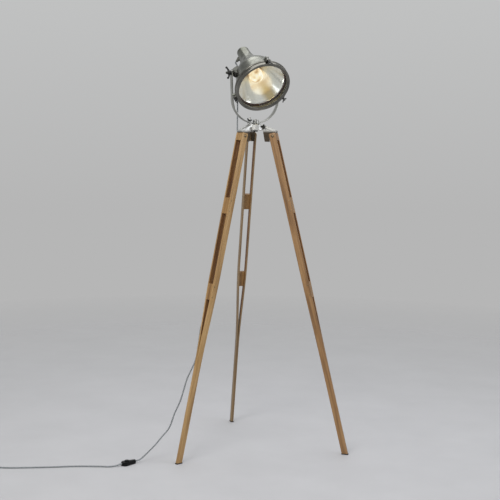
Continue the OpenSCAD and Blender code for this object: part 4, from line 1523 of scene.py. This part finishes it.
@dataclass(frozen=True)
class Yoke(SubAssembly):
    """The bent bar and the wing nuts on it."""

    edge: float = 0.0009
    end_steps: int = 9
    arm_steps: int = 5
    arc_steps: int = 48
    seat_radius: float = 0.015
    seat_bore: float = 0.0051
    tilt_nut: WingNut = WingNut(0.005, 0.010, 0.004, 0.016, 0.054, 0.0055)
    lock_nut: WingNut = WingNut(0.004, 0.0065, 0.003, 0.009, 0.024, 0.0034)
    nut_turn: float = 20.0
    lock_angle: float = 17.5

    def solids(self) -> dict[str, bpy.types.Material]:
        """The bolt of the swivel lock."""
        return {"lock_bolt": self.finishes.steel}

    def stations(self) -> list[tuple[float, float, float, float]]:
        """The bar's sections from one round end to the other.

        Returns:
            Each section's X and Z, its turn about Y and half of its width.
        """
        half = SIZES.yoke_width / 2
        middle = SIZES.yoke_inner + SIZES.yoke_thickness / 2
        height, pivot = SIZES.arc_height, SIZES.pivot_height
        arm = [(middle, pivot + half - 0.00005, 0.0, 0.0012)]
        for k in range(1, self.end_steps):
            rise = half * math.cos(math.pi / 2 * k / self.end_steps)
            arm.append((middle, pivot + rise, 0.0, math.sqrt(half * half - rise * rise)))
        for k in range(self.arm_steps):
            arm.append((middle, pivot + (height - pivot) * k / self.arm_steps, 0.0, half))
        bend = []
        for k in range(self.arc_steps + 1):
            turn = math.pi * k / self.arc_steps
            bend.append((middle * math.cos(turn), height - middle * math.sin(turn), turn, half))
        return arm + bend + [(-x, z, math.pi, w) for x, z, _turn, w in reversed(arm)]

    def bar(self) -> bpy.types.Object:
        """Makes the bar as a skin over rounded sections, with its seat.

        Returns:
            The bar.
        """
        rings = []
        for x, z, turn, wide in self.stations():
            out = Vector((math.cos(turn), 0.0, -math.sin(turn)))
            corner = min(self.edge, wide * 0.5)
            points = corner_points(SIZES.yoke_thickness / 2, wide, self.edge, corner, 3)
            rings.append([Vector((x, v, z)) + out * u for u, v in points])
        form = Form().loft(rings, BAR_PLACE)
        radius, bore, base = self.seat_radius, self.seat_bore, SIZES.yoke_base
        far = radius + SIZES.yoke_outer * math.sin(math.radians(SIZES.yoke_lean))
        top = SIZES.arc_height - math.sqrt(SIZES.yoke_inner**2 - far**2) + 0.0002
        seat = [(bore, base), (radius - 0.0005, base), (radius, base + 0.0005)]
        seat += [(radius, top - 0.0005), (radius - 0.0005, top), (bore, top)]
        form.revolve(seat, 48, YOKE_PLACE)
        steel = self.finishes.yoke
        return form.finish("yoke_bar_dressed", steel, Matrix(), "yoke", "yoke_metal", ("yoke_bar",))

    def nut(self, name: str, kind: WingNut, place: Matrix) -> bpy.types.Object:
        """Makes one wing nut.

        Args:
            name: the CAD node that it stands for, and its body.
            kind: its sizes.
            place: where it goes.

        Returns:
            The nut.
        """
        form = Form()
        kind.add(form, place)
        return form.finish(f"{name}_dressed", self.finishes.dark, Matrix(), name, "dark_hardware", (name,))

    def build(self) -> list[bpy.types.Object]:
        """Makes the bar and the wing nuts of the tilt axis and of the swivel lock.

        Returns:
            The pieces.
        """
        pieces = [self.bar()]
        for name, side in (("tilt_nut_left", -1), ("tilt_nut_right", 1)):
            place = BAR_PLACE @ shift(side * (SIZES.yoke_outer + 0.00035), 0.0, SIZES.pivot_height)
            pieces.append(self.nut(name, self.tilt_nut, place @ spin("Y", side * 90.0) @ spin("Z", self.nut_turn)))
        middle = BAR_PLACE @ shift(z=SIZES.arc_height) @ spin("Y", 180.0 + self.lock_angle)
        place = middle @ shift(z=SIZES.yoke_inner - 0.0007) @ spin("X", 180.0)
        return pieces + [self.nut("lock_nut", self.lock_nut, place)]


@dataclass(frozen=True)
class SpotHead(SubAssembly):
    """The spun shell, its neck, reflector, glass, bezel and latches."""

    wall: float = 0.002
    shoulder_radius: float = 0.036
    shoulder_start: float = -0.080
    shoulder_length: float = 0.090
    shoulder_end: float = 0.085
    shoulder_slope: float = 0.30
    shoulder_steps: int = 20
    flange_front: float = 0.0848
    dish: Flat = (0.022, 0.098)
    dish_back: float = -0.038
    dish_steps: int = 24
    bulb_base: float = -0.054
    slot: float = 0.0029
    slot_depth: float = 0.0031
    ear_reach: float = 0.005
    eye_front: float = 0.099
    bolt: float = 0.0025
    pitch: float = 0.0008
    latch_nut: WingNut = WingNut(0.0025, 0.0054, 0.0, 0.009, 0.024, 0.003)
    gland_ribs: int = 5

    def solids(self) -> dict[str, bpy.types.Material]:
        """The trunnion brackets, the lamp holder, the glass and its seal.

        Returns:
            The material of each solid.
        """
        finishes = self.finishes
        return {
            "trunnion_left": finishes.bracket,
            "trunnion_right": finishes.bracket,
            "lamp_holder": finishes.porcelain,
            "front_glass": finishes.glass,
            "glass_gasket": finishes.seal,
        }

    def bell(self, inset: float = 0.0) -> list[Flat]:
        """The shell's outline from neck to mouth.

        Args:
            inset: how far inside the outer face it runs.

        Returns:
            Radius and distance forward of each point.
        """
        r, back = SIZES.neck_radius, 0.009 - SIZES.neck_reach
        points: list[Flat] = [(r, back), (r + 0.0008, back + 0.015), (0.0275, -0.120), (0.0290, -0.108)]
        points += [(0.0310, -0.097), (0.0335, -0.088)]
        length, slope = self.shoulder_length, self.shoulder_slope
        for i in range(self.shoulder_steps + 1):
            t = i / self.shoulder_steps
            r = (
                (2 * t**3 - 3 * t**2 + 1) * self.shoulder_radius
                + (t**3 - 2 * t**2 + t) * slope * length
                + (3 * t**2 - 2 * t**3) * self.shoulder_end
                + (t**3 - t**2) * slope * length
            )
            points.append((r, self.shoulder_start + length * t))
        points += [(0.0922, 0.035), (0.0994, 0.060), (0.1065, self.flange_front)]
        return [(r - inset, s) for r, s in points]

    def shell(self) -> bpy.types.Object:
        """Makes the shell with its rolled flange and its forked latch lugs with their pins.

        Returns:
            The shell.
        """
        front = self.flange_front
        flange = [(0.1058, 0.0822), (0.1075, 0.0826), (0.1132, 0.0828), (0.1140, 0.0834)]
        flange += [(0.1140, 0.0843), (0.1134, front), (0.1045, front)]
        form = Form()
        form.revolve(self.bell()[:-1] + flange + self.bell(self.wall)[-2::-1], 128)
        lug = [(-0.0205, -0.013), (-0.017, -0.012), (-0.0045, -0.0062)]
        lug += arc(0.0, 0.0, 0.0055, -120, 100, 10) + [(-0.008, 0.0065), (-0.0165, 0.0065)]
        end = [(0.0025, 0.0059), (0.0036, 0.0060), (0.0036, 0.0064), (0.0032, 0.0069), (0.0, 0.0069)]
        pin = [(r, -h) for r, h in reversed(end)] + end
        for latch in Latch:
            base = latch_place(latch)
            for side in (-1, 1):
                place = base @ shift(side * 0.0044) @ spin("Y", 90.0) @ spin("Z", 90.0)
                form.prism(lug, 0.003, 0.0005, place)
            form.revolve(pin, 24, base @ spin("Y", 90.0))
        steel = self.finishes.shell
        return form.finish("head_shell_dressed", steel, HEAD_PLACE, "head", "head_metal", ("head_shell",), 28.0)

    def neck(self) -> bpy.types.Object:
        """Makes the domed cap with its bead.

        Returns:
            The cap.
        """
        r, back = SIZES.neck_radius, -SIZES.neck_reach
        dome = [(0.0, 0.0), (0.22, 0.0004), (0.42, 0.0015), (0.60, 0.0033), (0.75, 0.0056), (0.87, 0.0085)]
        dome += [(0.95, 0.0116), (0.99, 0.0146)]
        profile = [(r * share, back + rise) for share, rise in dome]
        profile += [(r + 0.0006, back + 0.0156), (r + 0.0009, back + 0.0166), (r + 0.0009, back + 0.0176)]
        profile += [(r + 0.0005, back + 0.0184), (r - 0.0021, back + 0.0186)]
        profile += [(r - 0.0021, back + 0.0146), (0, back + 0.0112)]
        form = Form().revolve(profile, 72)
        steel = self.finishes.shell
        return form.finish("neck_cap_dressed", steel, HEAD_PLACE, "head", "head_metal", ("neck_cap",), 40.0)

    def reflector(self) -> bpy.types.Object:
        """Makes the reflector as a parabolic dish with a flat rim.

        Returns:
            The reflector.
        """
        back, front = self.dish_back, self.flange_front
        low, high = self.dish
        dish = []
        for i in range(self.dish_steps + 1):
            r = low + (high - low) * i / self.dish_steps
            dish.append((r, back + (front - back) * (r * r - low * low) / (high * high - low * low)))
        rim = [(0.0985, 0.0856), (0.0995, 0.0860), (0.110, 0.0860), (0.110, 0.0850), (0.0998, 0.0849)]
        behind = [(r + 0.0011, s - 0.0004) for r, s in reversed(dish)]
        form = Form().revolve(dish + rim + behind, 96)
        metal = self.finishes.reflector
        return form.finish("reflector_dressed", metal, HEAD_PLACE, "head", "reflector", ("reflector",))

    def bulb(self) -> bpy.types.Object:
        """Makes the lit bulb.

        Returns:
            The bulb.
        """
        glass = [(0.0, 0), (0.011, 0.001), (0.0135, 0.003), (0.0135, 0.024), (0.015, 0.032), (0.020, 0.044)]
        glass += [(0.026, 0.056), (0.029, 0.066), (0.030, 0.075), (0.029, 0.084), (0.0255, 0.093)]
        glass += [(0.019, 0.100), (0.010, 0.104), (0.0, 0.105)]
        form = Form().revolve([(r, self.bulb_base + s) for r, s in glass], 48)
        lit = self.finishes.bulb
        return form.finish("bulb_dressed", lit, HEAD_PLACE, "head", "bulb_glass", ("bulb",), 60.0)

    def bezel(self) -> bpy.types.Object:
        """Makes the bezel ring with its rims, groove and slotted ears.

        Returns:
            The ring.
        """
        r, back, front = SIZES.bezel_radius, SIZES.bezel_back, SIZES.bezel_front
        mid = r - 0.0026
        rear_rim = [(0.104, 0.0), (r - 0.001, 0.0), (r - 0.0003, 0.0003), (r, 0.001), (r, 0.0034)]
        rear_rim += [(r - 0.0004, 0.0042), (r - 0.001, 0.0046), (mid, 0.0054)]
        front_rim = [(mid, 0.0070), (r - 0.001, 0.0060), (r - 0.0003, 0.0054), (r, 0.0046), (r, 0.0016)]
        front_rim += [(r - 0.0005, 0.0006), (r - 0.0016, 0.0), (r - 0.0060, 0.0), (r - 0.0072, 0.0004)]
        lip = [(0.1045, 0.0026), (0.1034, 0.0034), (0.1030, 0.0046), (0.1030, 0.010), (0.1045, 0.010)]
        profile = [(x, back + s) for x, s in rear_rim] + [(x, front - s) for x, s in front_rim + lip]
        form = Form().revolve(profile, 128)
        slot, reach = self.slot, SIZES.latch_radius + self.ear_reach
        deep = SIZES.latch_radius - self.slot_depth
        side = [(0.011, r - 0.006), (0.009, reach - 0.004), (0.0078, reach - 0.0008)]
        side += [(0.0066, reach), (slot, reach)]
        ear = side + arc(0.0, deep + slot, slot, 0, -180, 10) + [(-x, y) for x, y in reversed(side)]
        for latch in Latch:
            form.prism(ear, 0.008, 0.0005, spin("Z", latch.value - 90.0) @ shift(z=back + 0.007))
        ring = self.finishes.bezel
        return form.finish("bezel_ring_dressed", ring, HEAD_PLACE, "head", "bezel_metal", ("bezel_ring",), 26.0)

    def latch(self, latch: Latch) -> list[bpy.types.Object]:
        """Makes one swing bolt and its wing nut.

        Args:
            latch: which latch it is.

        Returns:
            The bolt and the nut.
        """
        distance = self.eye_front - SIZES.latch_pin
        base = distance + 0.005**2 / (2 * distance) + 0.0004
        wing = SIZES.bezel_front - SIZES.latch_pin + 0.0008 - base
        end = base + wing + 0.006
        name = latch.name.lower()
        place = HEAD_PLACE @ latch_place(latch)
        eye = [(0.0026, -0.0025), (0.0056, -0.0025), (0.0060, -0.0021)]
        eye += [(r, -h) for r, h in reversed(eye)]
        shank = [(0, 0.0048), (self.bolt, 0.0048), (self.bolt, 0.014)]
        shank += threaded(self.bolt, 0.0142, end - 0.0006, self.pitch) + [(0.0018, end), (0, end)]
        form = Form().revolve(eye, 32, spin("Y", 90.0)).revolve(shank, 20)
        node = f"latch_bolt_{name}"
        steel = self.finishes.steel
        bolt = form.finish(f"{node}_dressed", steel, place, f"latch_{name}", "yoke_metal", (node,))
        form = Form()
        replace(self.latch_nut, wing_start=wing).add(form, place @ shift(z=base))
        node = f"latch_nut_{name}"
        black = self.finishes.dark
        return [bolt, form.finish(f"{node}_dressed", black, Matrix(), node, "dark_hardware", (node,))]

    def gland(self) -> bpy.types.Object:
        """Makes the ribbed strain relief where the cord leaves the neck.

        Returns:
            The strain relief.
        """
        profile: list[Flat] = [(0.0031, 0.0247), (0.0090, 0.0262), (0.0090, 0.0345), (0.0083, 0.0350)]
        profile += [(0.0068, 0.0360)]
        for i in range(self.gland_ribs):
            low = 0.0365 + i * 0.0019
            r = 0.0064 - 0.00028 * i
            profile += [(r, low), (r, low + 0.0011), (r - 0.0009, low + 0.0013), (r - 0.0009, low + 0.0018)]
        profile += [(0.0046, 0.0464), (0.0044, 0.0470), (0.0031, 0.0470)]
        place = HEAD_PLACE @ shift(z=GLAND_FORWARD - SIZES.neck_reach)
        place = place @ spin("Z", -GLAND_TURN) @ spin("X", -90.0)
        form = Form().revolve(profile, 36, place)
        rubber = self.finishes.relief
        return form.finish("cord_gland_dressed", rubber, Matrix(), "head", "black_plastic", ("cord_gland",))

    def build(self) -> list[bpy.types.Object]:
        """Makes the head's pieces.

        Returns:
            The pieces.
        """
        pieces = [self.shell(), self.neck(), self.reflector(), self.bulb(), self.bezel()]
        for latch in Latch:
            pieces += self.latch(latch)
        return pieces + [self.gland()]


# ---- Stage ----


@dataclass(frozen=True)
class Studio:
    """The camera, the pale floor and the soft light."""

    picture: float = 500.0
    focal: float = 1189.87
    azimuth: float = 0.2356
    pitch: float = 0.115
    yaw: float = -0.0036
    roll: float = 0.012
    spot: Point = (0.0, -5.0, 1.4258)
    floor_radius: float = 14.0

    def turned(self, v: Sequence[float]) -> Vector:
        """Turns a direction of the camera's plan into the lamp's."""
        return Matrix.Rotation(-self.azimuth, 3, "Z") @ Vector(v)

    def camera(self) -> bpy.types.Object:
        """Places the camera as the photograph's.

        Returns:
            The camera.
        """
        yaw, pitch, roll = self.yaw, self.pitch, self.roll
        forward = Vector((math.sin(yaw) * math.cos(pitch), math.cos(yaw) * math.cos(pitch), -math.sin(pitch)))
        level = Vector((math.cos(yaw), -math.sin(yaw), 0.0))
        above = level.cross(forward)
        right = level * math.cos(roll) + above * math.sin(roll)
        up = above * math.cos(roll) - level * math.sin(roll)
        axes = [self.turned(right), self.turned(up), -self.turned(forward)]
        matrix = Matrix([[axis[row] for axis in axes] for row in range(3)]).to_4x4()
        matrix.translation = self.turned(self.spot) + Vector((0.0, SIZES.axis_y, 0.0))
        data = bpy.data.cameras.new("camera")
        data.sensor_width = 36.0
        data.lens = self.focal / self.picture * data.sensor_width
        data.clip_end = 200.0
        camera = bpy.data.objects.new("camera", data)
        bpy.context.scene.collection.objects.link(camera)
        camera.matrix_world = matrix
        bpy.context.scene.camera = camera
        return camera

    def floor(self) -> None:
        """Makes the pale floor."""
        data = bpy.data.meshes.new("floor")
        part = bmesh.new()
        bmesh.ops.create_circle(part, cap_ends=True, segments=96, radius=self.floor_radius)
        part.to_mesh(data)
        part.free()
        floor = bpy.data.objects.new("floor", data)
        bpy.context.scene.collection.objects.link(floor)
        data.materials.append(FloorFinish().build())

    def world(self) -> None:
        """Sets the soft surrounding light, and the pale backdrop that the camera, metal and glass see."""
        graph = Graph(bpy.data.worlds.new("studio"))
        soft = graph.nodes["Background"]
        graph.feed(soft, {"Color": "#E9EBEE", "Strength": 0.55})
        way = graph.add("SeparateXYZ", (graph.add("TexCoord", out="Generated"),), "Z")
        rise = graph.add("MapRange", (way, -0.08, 0.12))
        wall = graph.add("Mix", {0: rise, 6: "#B6B6B6", 7: "#C2C3C3"}, 2, data_type="RGBA")
        seen = graph.add("LightPath", out="Is Camera Ray")
        rays = seen.node.outputs
        for kind in ("Is Glossy Ray", "Is Transmission Ray"):
            seen = graph.add("Math", (seen, rays[kind]), operation="MAXIMUM")
        mixed = graph.add("MixShader", (seen, soft.outputs[0], graph.add("Background", {"Color": wall})))
        graph.feed(graph.nodes["World Output"], {"Surface": mixed})
        bpy.context.scene.world = graph.owner

    def lamp(self, name: str, spot: Point, aim: Point, size: Flat, power: float, tint: str) -> None:
        """Adds one soft box.

        Args:
            name: the light's name.
            spot: where it is.
            aim: the point it faces.
            size: its width and height.
            power: its power in watts.
            tint: its sRGB colour.
        """
        data = bpy.data.lights.new(name, "AREA")
        data.shape = "RECTANGLE"
        data.size, data.size_y = size
        data.energy = power
        data.color = linear(tint)[:3]
        light = bpy.data.objects.new(name, data)
        bpy.context.scene.collection.objects.link(light)
        light.location = spot
        light.rotation_euler = (Vector(aim) - Vector(spot)).to_track_quat("-Z", "Y").to_euler()

    def build(self) -> None:
        """Sets up the whole stage after the camera."""
        self.floor()
        self.world()
        self.lamp("key", (-2.2, -3.0, 3.2), (0.0, 0.0, 1.0), (2.0, 2.0), 95.0, "#FFFDFA")
        self.lamp("fill", (3.0, -2.2, 2.2), (0.0, 0.0, 0.9), (2.4, 2.4), 38.0, "#F4F7FF")
        self.lamp("top", (0.3, 0.6, 3.8), (0.0, 0.0, 0.0), (3.0, 3.0), 55.0, "#FFFFFF")
        scene = bpy.context.scene
        scene.view_settings.view_transform = "Standard"
        scene.view_settings.look = "None"


# ---- The whole ----


def corners(box: Sequence[Sequence[float]]) -> list[list[float]]:
    """A box as plain lists of numbers."""
    return [[float(value) for value in corner] for corner in box]


def main() -> None:
    """Builds the picture: camera first, then the lamp part by part, then its stage."""
    logging.basicConfig(level=logging.INFO)
    for item in list(bpy.data.objects):
        bpy.data.objects.remove(item)
    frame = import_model()
    studio = Studio()
    studio.camera()
    finishes = Finishes()
    legs = [TripodLeg(finishes, leg) for leg in Leg]
    for part in (Cords(finishes), *legs, Crown(finishes), Yoke(finishes), SpotHead(finishes)):
        for piece in part.build():
            LOG.info("%s: %d faces", piece.name, len(piece.data.polygons))
        part.dress(frame["nodes"])
    studio.build()


if __name__ == "__main__":
    main()
